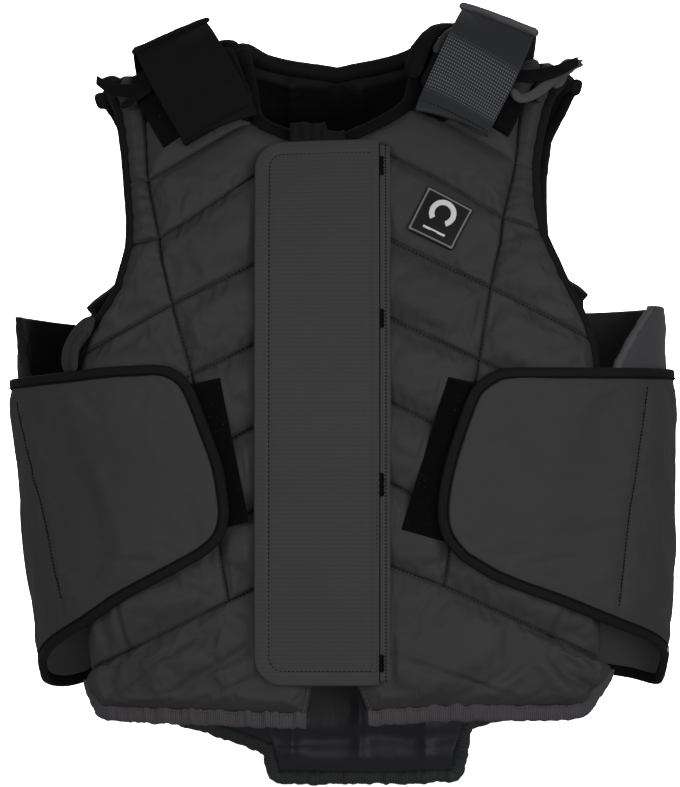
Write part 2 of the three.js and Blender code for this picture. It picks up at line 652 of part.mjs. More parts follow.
// The back neck and tail bindings run across both halves: s below 0 is the left half.
const acrossBack = (onHalf) => (s) => {
  return onHalf(backHalves[s < 0 ? "left" : "right"].plan, Math.abs(s));
};
const backStations = (ofHalf) => {
  const mirrored = ofHalf(backHalves.left).map((s) => -s).reverse();
  return [...mirrored.slice(0, -1), ...ofHalf(backHalves.right)];
};
const backNeckLine = acrossBack((plan, s) => plan.point(0, plan.rowAt("neck") + s));
const backNeckStations = backStations(({ plan, along }) => {
  const neck = plan.rowAt("neck");
  return along.filter((v) => v >= neck).map((v) => v - neck);
});
const backNeck = edgeBar(backNeckLine, backNeckStations, 1, NECK_BINDING, RIM_TOP, RIM_BOTTOM);
add("back_neck_binding", COLOURS.binding, backNeck, 0.95);

const tailLine = acrossBack((plan, u) => plan.point(u, 0));
const tailStations = backStations(({ across }) => across);
const tail = edgeBar(tailLine, tailStations, -1, TAIL_BINDING, RIM_TOP, RIM_BOTTOM);
add("tail_binding", COLOURS.binding, tail, 0.95);

for (const [side, sign] of Object.entries(SIDES)) {
  const { plan, along } = backHalves[side];
  const armLine = (v) => plan.point(plan.last, v);
  const armStations = along.filter((v) => v >= plan.rowAt("arm pit"));
  const bar = edgeBar(armLine, armStations, -sign, ARM_BINDING, RIM_TOP, RIM_BOTTOM);
  add(`back_arm_binding_${side[0]}`, COLOURS.binding, bar, 0.95);
}

// Zip between the front pads, with its slider at the top
const zipRun = (at) => {
  const row = FRONT_ROWS.left.find((candidate) => candidate.at === at);
  return runAt(ZIP_X, row.z[0] * DROP, false);
};
const zipTop = zipRun("neck corner");
const zipBottom = zipRun("line 7");
const zipPlace = (u, v, depth) => shell(ZIP_X + u, v, depth);
const zipHalf = ZIP_WIDTH / 2;
const zipStations = stations(zipBottom, zipTop, 14);
const zipDepth = RIM_DEPTH - ZIP_RISE;
const zipBack = () => zipDepth + ZIP_THICKNESS;
const zipBody = net([-zipHalf, zipHalf], zipStations, zipPlace, () => zipDepth, zipBack);
add("zip", COLOURS.zip, zipBody, 0.6);

const sliderBottom = zipDepth - GAP;
const sliderTop = sliderBottom - SLIDER_THICKNESS;
const sliderHalf = SLIDER_WIDTH / 2;
const sliderStations = stations(zipTop - 2 * SLIDER_LENGTH, zipTop - SLIDER_LENGTH, 3);
const sliderFace = (u) => sliderTop + 1.5 * Math.abs(u / sliderHalf) ** 2;
const sliderAcross = [-sliderHalf, 0, sliderHalf];
const sliderBody = net(sliderAcross, sliderStations, zipPlace, sliderFace, () => sliderBottom);
add("zip_slider", COLOURS.zip, sliderBody, 0.4);

// Storm flap: a panel with rounded free corners, and the strip that sews it down
const flapTop = zipTop - 2;
const flapBottom = zipRun("flare") - FLAP_BELOW_FLARE;
const flapSewn = ZIP_X + FLAP_RIGHT;
const flapFree = ZIP_X - FLAP_LEFT;
const cornerTurns = stations(0, Math.PI / 2, 5);
const flapStations = [
  ...cornerTurns.map((a) => flapBottom + FLAP_CORNER * (1 - Math.cos(a))),
  ...stations(flapBottom + FLAP_CORNER, flapTop - FLAP_CORNER, 9).slice(1, -1),
  ...cornerTurns.map((a) => flapTop - FLAP_CORNER * (1 - Math.sin(a))),
];
const flapEdge = (v) => {
  const beyond = Math.max(flapBottom + FLAP_CORNER - v, v - flapTop + FLAP_CORNER, 0);
  return flapFree + FLAP_CORNER - Math.sqrt(Math.max(FLAP_CORNER ** 2 - beyond ** 2, 0));
};
const flapPlace = (u, v, depth) => {
  const left = flapEdge(v);
  return shell(left + (flapSewn - left) * u, v, depth);
};
const flapFace = () => -FLAP_LIFT - FLAP_THICKNESS;
const flapBody = net(stations(0, 1, 5), flapStations, flapPlace, flapFace, () => -FLAP_LIFT);
add("storm_flap", COLOURS.flap, flapBody);

const stripPlace = (u, v, depth) => shell(flapSewn + GAP + u * SEAM_STRIP, v, depth);
const stripStations = stations(flapBottom + 3, flapTop - 4, 12);
const stripFace = (u) => -FLAP_LIFT - FLAP_THICKNESS * (1 - 0.45 * u);
const stripBody = net([0, 0.5, 1], stripStations, stripPlace, stripFace, () => -FLAP_LIFT);
add("flap_seam_strip", COLOURS.flap, stripBody);

// Girth at which the back pad's side edge stands, at height z.
function sewnGirth(side, z) {
  const edge = BACK_ROWS[side].filter((row) => !row.top);
  const rows = edge.map((row) => ({ x: row.x.at(-1), z: row.z.at(-1), corner: row.corner }));
  const x = through(rows, "z", "x", z / DROP) * HALF_WIDTH;
  const sine = (x / through(GIRTH, "z", side, z)) ** (SECTION_POWER / 2);
  const angle = Math.PI - Math.asin(sine);
  const i = Math.floor((angle / Math.PI) * (GIRTH_TABLE.length - 1));
  const [a, b] = [GIRTH_TABLE[i], GIRTH_TABLE[i + 1]];
  return a.g + ((b.g - a.g) * (angle - a.angle)) / (b.angle - a.angle) - SEWN_GAP;
}

// Wings. The border is one line from the rear end of the bottom edge, round the tip, to the rear
// end of the top edge, and each piece follows it at its own inset.
function borderPoints(side, rows, count) {
  const marked = rows.map((row) => {
    const z = row.z * DROP;
    return { g: row.sewn ? sewnGirth(side, z) : row.g * HALF_GIRTH, z, s: 0 };
  });
  marked.forEach((row, i) => {
    const before = marked[i - 1];
    if (before) row.s = before.s + Math.hypot(row.g - before.g, row.z - before.z);
  });
  return stations(0, marked[marked.length - 1].s, count).map((s) => ({
    g: through(marked, "s", "g", s),
    z: through(marked, "s", "z", s),
  }));
}

// The border moved inwards by a distance. The rear ends slide along the rear edge.
function inset(border, distance) {
  return border.map((point, i) => {
    const [behind, ahead] = [border[Math.max(i - 1, 0)], border[Math.min(i + 1, border.length - 1)]];
    const length = Math.hypot(ahead.g - behind.g, ahead.z - behind.z);
    const [ng, nz] = [(behind.z - ahead.z) / length, (ahead.g - behind.g) / length];
    const atEnd = i === 0 || i === border.length - 1;
    const vertical = i === 0 ? 1 : -1;
    if (atEnd) return { g: point.g, z: point.z + vertical * distance };
    return { g: point.g - ng * distance, z: point.z - nz * distance };
  });
}

const WING_STATIONS = { bottom: 18, tip: 10, top: 18 };

function wingBorder(side) {
  const { bottom, tip, top } = WING_EDGES[side];
  const bottomLine = borderPoints(side, [...bottom, tip[0]], WING_STATIONS.bottom);
  const tipLine = borderPoints(side, [...tip, top[0]], WING_STATIONS.tip);
  const topLine = borderPoints(side, top, WING_STATIONS.top);
  return [...bottomLine, ...tipLine.slice(1), ...topLine.slice(1)];
}

// Depth of a wing's inner face: proud of the front pad, and sunk to the back pad's rim where it
// is sewn on.
function wingDepth(side, g, z) {
  const fromSeam = sewnGirth(side, z) - g;
  const sewn = RIM_DEPTH + WING_THICKNESS + BINDING_PROUD;
  return THREE.MathUtils.lerp(sewn, -WING_LIFT, THREE.MathUtils.smoothstep(fromSeam, 0, WING_RISE_RUN));
}

// Fills a border with a net: u runs from the tip to the rear, v from the bottom to the top.
function filled(border) {
  const { bottom: a, tip: b } = WING_STATIONS;
  const bottomLine = border.slice(0, a + 1).reverse();
  const tipLine = border.slice(a, a + b + 1);
  const topLine = border.slice(a + b);
  const rear = [bottomLine.at(-1), topLine.at(-1)];
  const mix = (p, q, t) => ({ g: p.g + (q.g - p.g) * t, z: p.z + (q.z - p.z) * t });
  return (i, j) => {
    const [u, v] = [i / a, j / b];
    const lengthwise = mix(bottomLine[i], topLine[i], v);
    const upright = mix(tipLine[j], mix(rear[0], rear[1], v), u);
    const corners = mix(mix(bottomLine[0], topLine[0], v), mix(rear[0], rear[1], v), u);
    return { g: lengthwise.g + upright.g - corners.g, z: lengthwise.z + upright.z - corners.z };
  };
}

for (const side of Object.keys(SIDES)) {
  const letter = side[0];
  const border = wingBorder(side);
  const inner = inset(border, WING_BINDING);
  const fill = filled(inset(border, WING_BINDING + GAP));
  const wingPlace = (i, j, depth) => {
    const { g, z } = fill(i, j);
    return around(side, g, z, depth + wingDepth(side, g, z));
  };
  const lengthwise = border.slice(0, WING_STATIONS.bottom + 1).map((_, i) => i);
  const upright = border.slice(0, WING_STATIONS.tip + 1).map((_, j) => j);
  const wing = net(lengthwise, upright, wingPlace, () => -WING_THICKNESS, () => 0);
  add(`wing_${letter}`, COLOURS.shell, wing);

  const bindingPlace = (u, k, depth) => {
    const [p, q] = [border[k], inner[k]];
    const [g, z] = [p.g + (q.g - p.g) * u, p.z + (q.z - p.z) * u];
    return around(side, g, z, depth + wingDepth(side, g, z));
  };
  const round = border.map((_, k) => k);
  const bindingFace = () => -WING_THICKNESS - BINDING_PROUD;
  const binding = net([0, 1], round, bindingPlace, bindingFace, () => 0);
  add(`wing_binding_${letter}`, COLOURS.binding, binding, 0.95);

  // Loop patch under the wing's tip, ending clear of the storm flap
  const corners = LOOP_PATCHES[side];
  const patchPlace = (u, v, depth) => {
    const mixed = [0, 1].map((k) => {
      const low = THREE.MathUtils.lerp(corners.bottomIn[k], corners.bottomOut[k], u);
      const high = THREE.MathUtils.lerp(corners.topIn[k], corners.topOut[k], u);
      return THREE.MathUtils.lerp(low, high, v);
    });
    const clear = side === "left" ? -flapFree : flapSewn + SEAM_STRIP + GAP;
    const x = SIDES[side] * Math.max(mixed[0] * HALF_WIDTH, clear + 2 * GAP);
    return shell(x, runAt(x, mixed[1] * DROP, false), depth - PATCH_LIFT);
  };
  const patchFace = () => -PATCH_THICKNESS;
  const patch = net(stations(0, 1, 4), stations(0, 1, 8), patchPlace, patchFace, () => 0);
  add(`loop_patch_${letter}`, COLOURS.loop, patch, 1);

  // Tab at the foot of the armhole, from the back pad's edge forwards, just under the wing
  const tab = SIDE_TABS[side];
  const tabRows = stations(0, 1, 6);
  const tabZ = (u, v) => {
    const top = THREE.MathUtils.lerp(tab.top, tab.rearTop, THREE.MathUtils.smoothstep(u, 0.3, 1));
    return THREE.MathUtils.lerp(tab.bottom, top, v) * DROP;
  };
  const tabFront = (v) => {
    return THREE.MathUtils.lerp(tab.frontBottom, tab.frontTop, v ** tab.bend) * HALF_GIRTH;
  };
  const onTab = (g, z, depth) => {
    return around(side, g, z, depth + wingDepth(side, g, z) + TAB_CLEARANCE);
  };
  const tabPlace = (u, v, depth) => {
    const [z, front] = [tabZ(u, v), tabFront(v) + TAB_BINDING + GAP];
    return onTab(THREE.MathUtils.lerp(front, sewnGirth(side, z), u), z, depth);
  };
  const tabBody = net(stations(0, 1, 8), tabRows, tabPlace, () => 0, () => TAB_THICKNESS);
  add(`side_tab_${letter}`, COLOURS.shell, tabBody);
  const tabEdgePlace = (u, v, depth) => onTab(tabFront(v) + u * TAB_BINDING, tabZ(0, v), depth);
  const tabEdge = net([0, 1], tabRows, tabEdgePlace, () => 0, () => TAB_THICKNESS);
  add(`side_tab_binding_${letter}`, COLOURS.hem, tabEdge);
}

// Shoulder straps over loop patches, and the elastic bands beside them
for (const [side, sign] of Object.entries(SIDES)) {
  const letter = side[0];
  const strap = STRAPS[side];
  const middle = (s) => {
    const rows = [
      { s: -1, x: strap.front },
      { s: 0, x: strap.top },
      { s: 1, x: strap.back },
    ];
    return sign * through(rows, "s", "x", s) * HALF_WIDTH;
  };
  const run = (s) => SHOULDER_TOP + s * (s < 0 ? STRAP_RUN_FRONT : STRAP_RUN_BACK);
  const lean = (s) => {
    const dx = middle(s + 0.01) - middle(s - 0.01);
    const dw = run(s + 0.01) - run(s - 0.01);
    return { dx: dx / Math.hypot(dx, dw), dw: dw / Math.hypot(dx, dw) };
  };
  const onStrap = (half, offset) => (u, s, depth) => {
    const { dx, dw } = lean(s);
    const reach = u * half + offset;
    return shell(middle(s) + reach * dw, run(s) - reach * dx, depth);
  };
  const onPatch = PATCH_LIFT + SHOULDER_PATCH_THICKNESS + GAP;
  const ends = (s) => THREE.MathUtils.lerp(onPatch, PATCH_LIFT, THREE.MathUtils.smoothstep(s, -0.2, 0.6));
  const arch = (s) => ends(s) + strap.arch * Math.cos((s * Math.PI) / 2) ** 2;
  const strapStations = stations(-1, 1, 20);
  const top = (u, s) => -arch(s) - STRAP_THICKNESS;
  const strapPlace = onStrap(STRAP_WIDTH / 2, 0);
  const strapBody = net([-1, 0, 1], strapStations, strapPlace, top, (u, s) => -arch(s));
  add(`strap_${letter}`, COLOURS.webbing, strapBody, 0.8);

  const patchOffset = sign * (SHOULDER_PATCH_WIDTH - STRAP_WIDTH) * 0.4;
  const patchPlace = onStrap(SHOULDER_PATCH_WIDTH / 2, patchOffset);
  const clearOfTop = (RIM_REACH + SHOULDER_GAP) / STRAP_RUN_FRONT;
  const patchStations = stations(-1 + RIM_REACH / STRAP_RUN_FRONT, -clearOfTop, 6);
  const patchFace = () => -PATCH_LIFT - SHOULDER_PATCH_THICKNESS;
  const patch = net(stations(-1, 1, 4), patchStations, patchPlace, patchFace, () => -PATCH_LIFT);
  add(`shoulder_patch_${letter}`, COLOURS.loop, patch, 1);

  const bandRows = SHOULDER_BANDS[side].map((row, i) => ({ ...row, s: i }));
  const bandPlace = (u, s, depth) => {
    const w = SHOULDER_TOP - through(bandRows, "s", "ahead", s) * DROP + u * BAND_WIDTH;
    const lift = through(bandRows, "s", "lift", s) * BAND_WIDTH + BAND_LIFT;
    return shell(sign * through(bandRows, "s", "x", s) * HALF_WIDTH, w, depth - lift);
  };
  const bandStations = stations(0, bandRows.length - 1, 9);
  const band = net([-0.5, 0.5], bandStations, bandPlace, () => -BAND_THICKNESS, () => 0);
  add(`shoulder_band_${letter}`, COLOURS.webbing, band, 0.8);
}

// Badge on the right front pad, turned to follow the quilting
const badgeX = 0.3085 * HALF_WIDTH;
const badgeW = runAt(badgeX, -0.2 * DROP, false);
const badgeAngle = THREE.MathUtils.degToRad(-BADGE_TURN);
const badgePlace = (u, v, depth) => {
  const [a, b] = [(u * BADGE_SIDE) / 2, (v * BADGE_SIDE) / 2];
  const x = badgeX + a * Math.cos(badgeAngle) - b * Math.sin(badgeAngle);
  const w = badgeW + a * Math.sin(badgeAngle) + b * Math.cos(badgeAngle);
  return shell(x, w, depth - PATCH_LIFT);
};
const badgeSteps = stations(-1, 1, 4);
const badgeBody = net(badgeSteps, badgeSteps, badgePlace, () => -BADGE_THICKNESS, () => 0);
add("badge", COLOURS.badge, badgeBody, 0.5);

export default protector;
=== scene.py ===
"""Looks of the equestrian body protector: its covers, linings, bindings, straps and trim.

Lengths are millimetres until a mesh is made, and x, y, z are those of the frame: +X is the right of
someone looking at the front, the front faces -Y, +Z is up. A point of the vest is given by x and w,
where w is the length along the side profile, from the front hem over the shoulder to the tail.
"""

import math

import bpy
import numpy as np
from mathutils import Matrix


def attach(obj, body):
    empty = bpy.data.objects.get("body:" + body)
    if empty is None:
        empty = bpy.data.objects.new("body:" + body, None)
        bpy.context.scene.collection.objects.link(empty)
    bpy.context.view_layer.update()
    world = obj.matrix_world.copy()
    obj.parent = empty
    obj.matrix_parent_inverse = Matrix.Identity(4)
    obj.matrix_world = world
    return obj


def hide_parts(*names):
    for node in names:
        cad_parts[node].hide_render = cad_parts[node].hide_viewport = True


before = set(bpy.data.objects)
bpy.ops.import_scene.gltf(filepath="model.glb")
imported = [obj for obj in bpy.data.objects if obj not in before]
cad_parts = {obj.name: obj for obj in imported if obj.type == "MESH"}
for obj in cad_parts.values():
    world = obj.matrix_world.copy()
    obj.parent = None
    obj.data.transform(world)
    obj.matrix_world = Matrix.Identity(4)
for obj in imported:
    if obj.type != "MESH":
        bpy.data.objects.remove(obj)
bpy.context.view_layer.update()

MM = 0.001
HALF_WIDTH = 235
HALF_DEPTH = 120
DROP = 500
SECTION_POWER = 2.4
SHOULDER_SLOPE = 0.34
SLOPE_FROM = 70
LEAN = 0.03
GAP = 0.3

PAD_THICKNESS = 22
CHANNEL_DEPTH = 6.5
RIM_DEPTH = 8
RIM_REACH = 14
RIM_THICKNESS = 9
SQUARED_REACH = 10
SHOULDER_GAP = 0.8

NECK_BINDING = 7
ARM_BINDING = 5.5
ARM_BINDING_START = 25
HEM_TAPE = 10
HEM_TAPE_THICKNESS = 5
TAIL_BINDING = 8
BINDING_OVERHANG = 1.6

ZIP_X = -8
ZIP_WIDTH = 4.4
FLAP_LEFT = 50
FLAP_RIGHT = 37.5
FLAP_THICKNESS = 3
FLAP_CORNER = 20
FLAP_BELOW_FLARE = 13
FLAP_LIFT = 0.6
SEAM_STRIP = 7.5

WING_LIFT = 3.2
WING_RISE_RUN = 70
SEWN_GAP = 0.7
WING_THICKNESS = 4
WING_BINDING = 8.4
PATCH_LIFT = 0.5
PATCH_THICKNESS = 2.2
TAB_THICKNESS = 3.4
TAB_CLEARANCE = 1.3
TAB_BINDING = 7

STRAP_WIDTH = 52
STRAP_THICKNESS = 2.6
SHOULDER_PATCH_WIDTH = 66
SHOULDER_PATCH_THICKNESS = 1.8
STRAP_RUN_FRONT = 104
STRAP_RUN_BACK = 96
BAND_WIDTH = 12
BAND_THICKNESS = 2
BAND_LIFT = 3

BADGE_SIDE = 36
BADGE_THICKNESS = 2.2
BADGE_TURN = 25.6
BADGE_X = 0.3085 * HALF_WIDTH

# The camera's place in mm, the photo's middle in pixels, and the size of a pixel at a distance.
CAMERA_X, CAMERA_Y, CAMERA_Z = 2.1, -3000, -223
MIDDLE_COLUMN, MIDDLE_ROW = 340, 393.5
PIXEL_SIZE, PIXEL_DISTANCE = 0.7, 2882
TOP_ROW = 75  # row of the photo at which z is 0

# Stitches: pitch, length and thickness of the thread.
QUILT_STITCH = (2.9, 2.3, 0.75)
HEM_STITCH = (3.2, 2.2, 0.7)
FLAP_STITCH = (3.0, 2.3, 0.5)
STRIP_STITCH = (2.4, 1.7, 0.6)
TACK_STITCH = (1.7, 1.7, 0.9)
WING_STITCH = (2.6, 2.4, 0.85)
STRAP_STITCH = (2.8, 2.1, 0.55)

# Quilting: how far a foam block crowns and over what reach, and the pitches of the covers' nets.
CROWN_HEIGHT, CROWN_REACH = 2.2, 24
BLOCK_REACH = 15
GROOVE_DEPTH, GROOVE_REACH = 2.4, 1.9
FRONT_PITCH, CLOTH_PITCH, BACK_PITCH = 2.1, 3.4, 2.6

SIDES = {"left": -1, "right": 1}
PAD_SEEDS = {"left": 11, "right": 37}

# Side view of the outer face: y as a share of HALF_DEPTH, z as a share of DROP.
PROFILE = np.array([
    (-0.85, -1.1), (-0.87, -1.0), (-0.94, -0.8), (-0.985, -0.6), (-0.98, -0.41), (-0.9, -0.25),
    (-0.75, -0.13), (-0.517, -0.024), (-0.267, 0.058), (0, 0.088), (0.275, 0.06), (0.583, -0.028),
    (0.817, -0.144), (0.933, -0.32), (0.9, -0.56), (0.817, -0.78), (0.833, -1.04), (0.84, -1.16),
]) * (HALF_DEPTH, DROP)
PROFILE_W = np.concatenate([[0], np.cumsum(np.hypot(*np.diff(PROFILE, axis=0).T))])
SHOULDER_TOP = PROFILE_W[9]
PROFILE_END = PROFILE_W[-1]

# Half-widths of the horizontal sections: z, left, right.
GIRTH = np.array([
    (-1.16, 0.84, 0.95), (-0.83, 0.89, 0.99), (-0.66, 0.935, 1.005),
    (-0.42, 0.98, 1.01), (-0.25, 0.98, 1.0), (0.1, 0.96, 0.975),
]) * (DROP, HALF_WIDTH, HALF_WIDTH)

# Pads: name, x shares of HALF_WIDTH and z shares of DROP per column, and what the row is.
FRONT_ROWS = {
    "left": [
        ("hem", (0.048, 0.387, 0.73), (-0.899, -0.895, -0.893), ""),
        ("flare", (0.024, 0.36, 0.785), (-0.83, -0.812, -0.862), ""),
        ("line 7", (0, 0.328, 0.769), (-0.679, -0.739, -0.842), "sewn corner"),
        ("line 6", (0, 0.366, 0.789), (-0.561, -0.638, -0.739), "sewn"),
        ("line 5", (0, 0.402, 0.795), (-0.447, -0.528, -0.623), "sewn"),
        ("line 4", (0, 0.441, 0.798), (-0.33, -0.419, -0.507), "sewn"),
        ("line 3", (0, 0.5, 0.783), (-0.214, -0.319, -0.391), "sewn"),
        ("neck corner", (0, 0.53, 0.665), (-0.087, -0.259, -0.297), "corner"),
        ("line 2", (0.055, 0.542, 0.63), (-0.086, -0.223, -0.231), "sewn"),
        ("line 1", (0.214, 0.581, 0.642), (-0.053, -0.137, -0.137), "sewn"),
        ("rise", (0.25, 0.595, 0.665), (0.004, -0.055, -0.052), ""),
        ("shoulder", (0.286, 0.62, 0.715), (), "top"),
    ],
    "right": [
        ("hem", (0.116, 0.307, 0.755), (-0.895, -0.889, -0.89), ""),
        ("flare", (0.07, 0.31, 0.85), (-0.83, -0.81, -0.845), ""),
        ("line 7", (0, 0.322, 0.816), (-0.658, -0.718, -0.826), "sewn corner"),
        ("line 6", (0, 0.36, 0.813), (-0.532, -0.617, -0.714), "sewn"),
        ("line 5", (0, 0.393, 0.807), (-0.417, -0.511, -0.599), "sewn"),
        ("line 4", (0, 0.429, 0.801), (-0.3, -0.398, -0.48), "sewn"),
        ("line 3", (0, 0.465, 0.777), (-0.188, -0.295, -0.368), "sewn"),
        ("neck corner", (0, 0.494, 0.682), (-0.081, -0.231, -0.276), "corner"),
        ("line 2", (0.068, 0.506, 0.622), (-0.08, -0.193, -0.21), "sewn"),
        ("line 1", (0.247, 0.548, 0.605), (-0.032, -0.112, -0.119), "sewn"),
        ("rise", (0.29, 0.565, 0.64), (0.02, -0.04, -0.03), ""),
        ("shoulder", (0.352, 0.62, 0.715), (), "top"),
    ],
}
BACK_ROWS = {
    "left": [
        ("hem", (0, 0.19, 0.212, 0.3, 0.8), (-1.014, -1.013, -0.972, -0.955, -0.88), "corner"),
        ("tail top", (0, 0.13, 0.3, 0.53, 0.8), (-0.86, -0.86, -0.85, -0.835, -0.82), "sewn"),
        ("waist", (0, 0.11, 0.33, 0.55, 0.8), (-0.7, -0.7, -0.7, -0.7, -0.7), "sewn"),
        ("ribs", (0, 0.11, 0.33, 0.55, 0.8), (-0.54, -0.54, -0.54, -0.54, -0.54), "sewn"),
        ("arm pit", (0, 0.11, 0.33, 0.55, 0.8), (-0.38, -0.38, -0.375, -0.355, -0.325), "sewn corner"),
        ("blade", (0, 0.11, 0.33, 0.51, 0.665), (-0.23, -0.23, -0.23, -0.24, -0.26), "sewn"),
        ("upper arm", (0, 0.11, 0.34, 0.5, 0.652), (-0.1, -0.1, -0.11, -0.13, -0.155), ""),
        ("neck", (0, 0.2, 0.38, 0.52, 0.655), (0.036, 0.0, -0.02, -0.045, -0.07), "corner"),
        ("nape side", (0.22, 0.34, 0.46, 0.58, 0.7), (0.055, 0.045, 0.03, 0.008, -0.02), ""),
        ("shoulder", (0.33, 0.43, 0.53, 0.64, 0.745), (), "top"),
    ],
    "right": [
        ("hem", (0, 0.2, 0.375, 0.405, 0.8), (-1.014, -1.014, -1.01, -0.935, -0.88), "corner"),
        ("tail top", (0, 0.13, 0.36, 0.52, 0.8), (-0.86, -0.86, -0.86, -0.835, -0.82), "sewn"),
        ("waist", (0, 0.11, 0.33, 0.55, 0.8), (-0.7, -0.7, -0.7, -0.7, -0.7), "sewn"),
        ("ribs", (0, 0.11, 0.33, 0.55, 0.8), (-0.54, -0.54, -0.54, -0.54, -0.54), "sewn"),
        ("arm pit", (0, 0.11, 0.33, 0.55, 0.8), (-0.38, -0.38, -0.375, -0.345, -0.305), "sewn corner"),
        ("blade", (0, 0.11, 0.33, 0.52, 0.68), (-0.23, -0.23, -0.23, -0.24, -0.25), "sewn"),
        ("upper arm", (0, 0.11, 0.34, 0.5, 0.655), (-0.1, -0.1, -0.11, -0.12, -0.14), ""),
        ("neck", (0, 0.2, 0.38, 0.52, 0.665), (0.036, 0.0, -0.02, -0.04, -0.06), "corner"),
        ("nape side", (0.22, 0.34, 0.46, 0.58, 0.715), (0.061, 0.052, 0.04, 0.02, -0.008), ""),
        ("shoulder", (0.33, 0.43, 0.53, 0.64, 0.75), (), "top"),
    ],
}

# Wings laid flat: g as a share of the half girth, z as a share of DROP. A g of None is the seam on
# the back pad.
WING_EDGES = {
    "left": {
        "bottom": [(None, -0.865), (0.6, -0.872), (0.552, -0.877), (0.5, -0.862), (0.45, -0.83),
                   (0.343, -0.777), (0.282, -0.739), (0.211, -0.7)],
        "tip": [(0.172, -0.677), (0.152, -0.66), (0.141, -0.643), (0.1355, -0.62), (0.1355, -0.595),
                (0.141, -0.547), (0.157, -0.49), (0.173, -0.441), (0.184, -0.4225), (0.203, -0.409)],
        "top": [(0.222, -0.406), (0.282, -0.409), (0.343, -0.416), (0.453, -0.424), (0.55, -0.424),
                (None, -0.42)],
    },
    "right": {
        "bottom": [(None, -0.858), (0.6, -0.866), (0.54, -0.872), (0.5, -0.85), (0.455, -0.822),
                   (0.341, -0.777), (0.272, -0.746), (0.19, -0.71)],
        "tip": [(0.146, -0.68), (0.128, -0.655), (0.1195, -0.631), (0.1185, -0.595),
                (0.1255, -0.547), (0.141, -0.487), (0.157, -0.441), (0.173, -0.423), (0.194, -0.412)],
        "top": [(0.23, -0.41), (0.272, -0.41), (0.415, -0.41), (0.5, -0.412), (None, -0.415)],
    },
}
LOOP_PATCHES = {
    "left": ((0.262, -0.626), (0.362, -0.638), (0.349, -0.424), (0.481, -0.438)),
    "right": ((0.191, -0.637), (0.322, -0.654), (0.33, -0.422), (0.456, -0.436)),
}
SIDE_TABS = {
    "left": {"top": -0.335, "rear": -0.345, "bottom": -0.45, "front": (0.405, 0.465), "bend": 1},
    "right": {"top": -0.32, "rear": -0.325, "bottom": -0.45, "front": (0.333, 0.412), "bend": 1.9},
}
ROLL_SIZE = {"left": 2.3, "right": 3.2}
STRAPS = {
    "left": {"line": (0.35, 0.5, 0.47), "arch": 11},
    "right": {"line": (0.345, 0.485, 0.46), "arch": 15},
}
SHOULDER_BANDS = {
    "left": ((0.5, 0.6, 0.68, 0.73), (0.084, 0.09, 0.075, 0.04), (0, 0.1, 0.3, 0.3)),
    "right": ((0.46, 0.56, 0.66, 0.73), (0.094, 0.098, 0.075, 0.035), (0, 0.15, 0.5, 0.5)),
}


# Curves and the form of the vest

def through(knots, values, at, corners=None):
    """Smooth curve through values at knots: a cubic piece between each two, with the slope at a knot
    taken from its two neighbours, and unsmoothed where a corner is marked."""
    knots, values, at = (np.asarray(a, float) for a in (knots, values, at))
    if knots[-1] < knots[0]:
        knots, at = -knots, -at
    span = np.diff(knots)
    chord = np.diff(values) / span
    slope = np.concatenate([[chord[0]], (values[2:] - values[:-2]) / (knots[2:] - knots[:-2]), [chord[-1]]])
    starts, ends = slope[:-1].copy(), slope[1:].copy()
    if corners is not None:
        starts = np.where(corners[:-1], chord, starts)
        ends = np.where(corners[1:], chord, ends)
    i = np.clip(np.searchsorted(knots, at) - 1, 0, len(span) - 1)
    t = np.clip((at - knots[i]) / span[i], 0, 1)
    return (
        values[i] * (2 * t**3 - 3 * t**2 + 1)
        + starts[i] * span[i] * (t**3 - 2 * t**2 + t)
        + values[i + 1] * (3 * t**2 - 2 * t**3)
        + ends[i] * span[i] * (t**3 - t**2)
    )


def eased(a, b, at):
    """0 up to a, 1 from b, and a smooth rise between."""
    t = np.clip((at - a) / (b - a), 0, 1)
    return t * t * (3 - 2 * t)


def mixed(a, b, t):
    """The share t of the way from a to b."""
    return a + (b - a) * t


def unit(v):
    """Vectors scaled to length 1."""
    return v / np.maximum(np.linalg.norm(v, axis=-1, keepdims=True), 1e-9)


def run_length(points):
    """Length along a path of points, from 0 at its start."""
    return np.concatenate([[0], np.cumsum(np.linalg.norm(np.diff(points, axis=0), axis=-1))])


def rounded_edge(distance, reach, least=0.05):
    """Share of the full thickness at a distance from an edge that is rounded within the reach."""
    return np.sqrt(1 - (1 - np.clip(distance / reach, least, 1)) ** 2)


def section(count, power=1):
    """Angles round a bar, and its reach across and upwards there: a circle, squarer for a lower power."""
    angle = np.linspace(0, 2 * np.pi, count + 1)[:-1]
    return (angle, *(np.sign(share) * np.abs(share) ** power for share in (np.cos(angle), np.sin(angle))))


def shoulder_fall(x, z):
    """How far the shoulders fall at x: a slope beyond SLOPE_FROM, eased in with height."""
    beyond = np.abs(x) - SLOPE_FROM
    slope = SHOULDER_SLOPE * (beyond + np.hypot(beyond, SLOPE_FROM / 4)) / 2
    return (slope - LEAN * x) * eased(-0.3 * DROP, -0.02 * DROP, z)


def half_width(x, z):
    """Half the width of the section at height z, on the side of x."""
    return np.where(x < 0, through(GIRTH[:, 0], GIRTH[:, 1], z), through(GIRTH[:, 0], GIRTH[:, 2], z))


def face(x, w):
    """Outer face: the profile's y at w, shrunk towards the sides as a superellipse is, and its z,
    lowered by the shoulder's fall."""
    y = through(PROFILE_W, PROFILE[:, 0], w)
    z = through(PROFILE_W, PROFILE[:, 1], w)
    share = np.minimum(np.abs(x) / half_width(x, z), 0.995)
    wrap = (1 - share**SECTION_POWER) ** (1 / SECTION_POWER)
    return np.stack([x + 0 * w, y * wrap, z - shoulder_fall(x, z)], axis=-1)


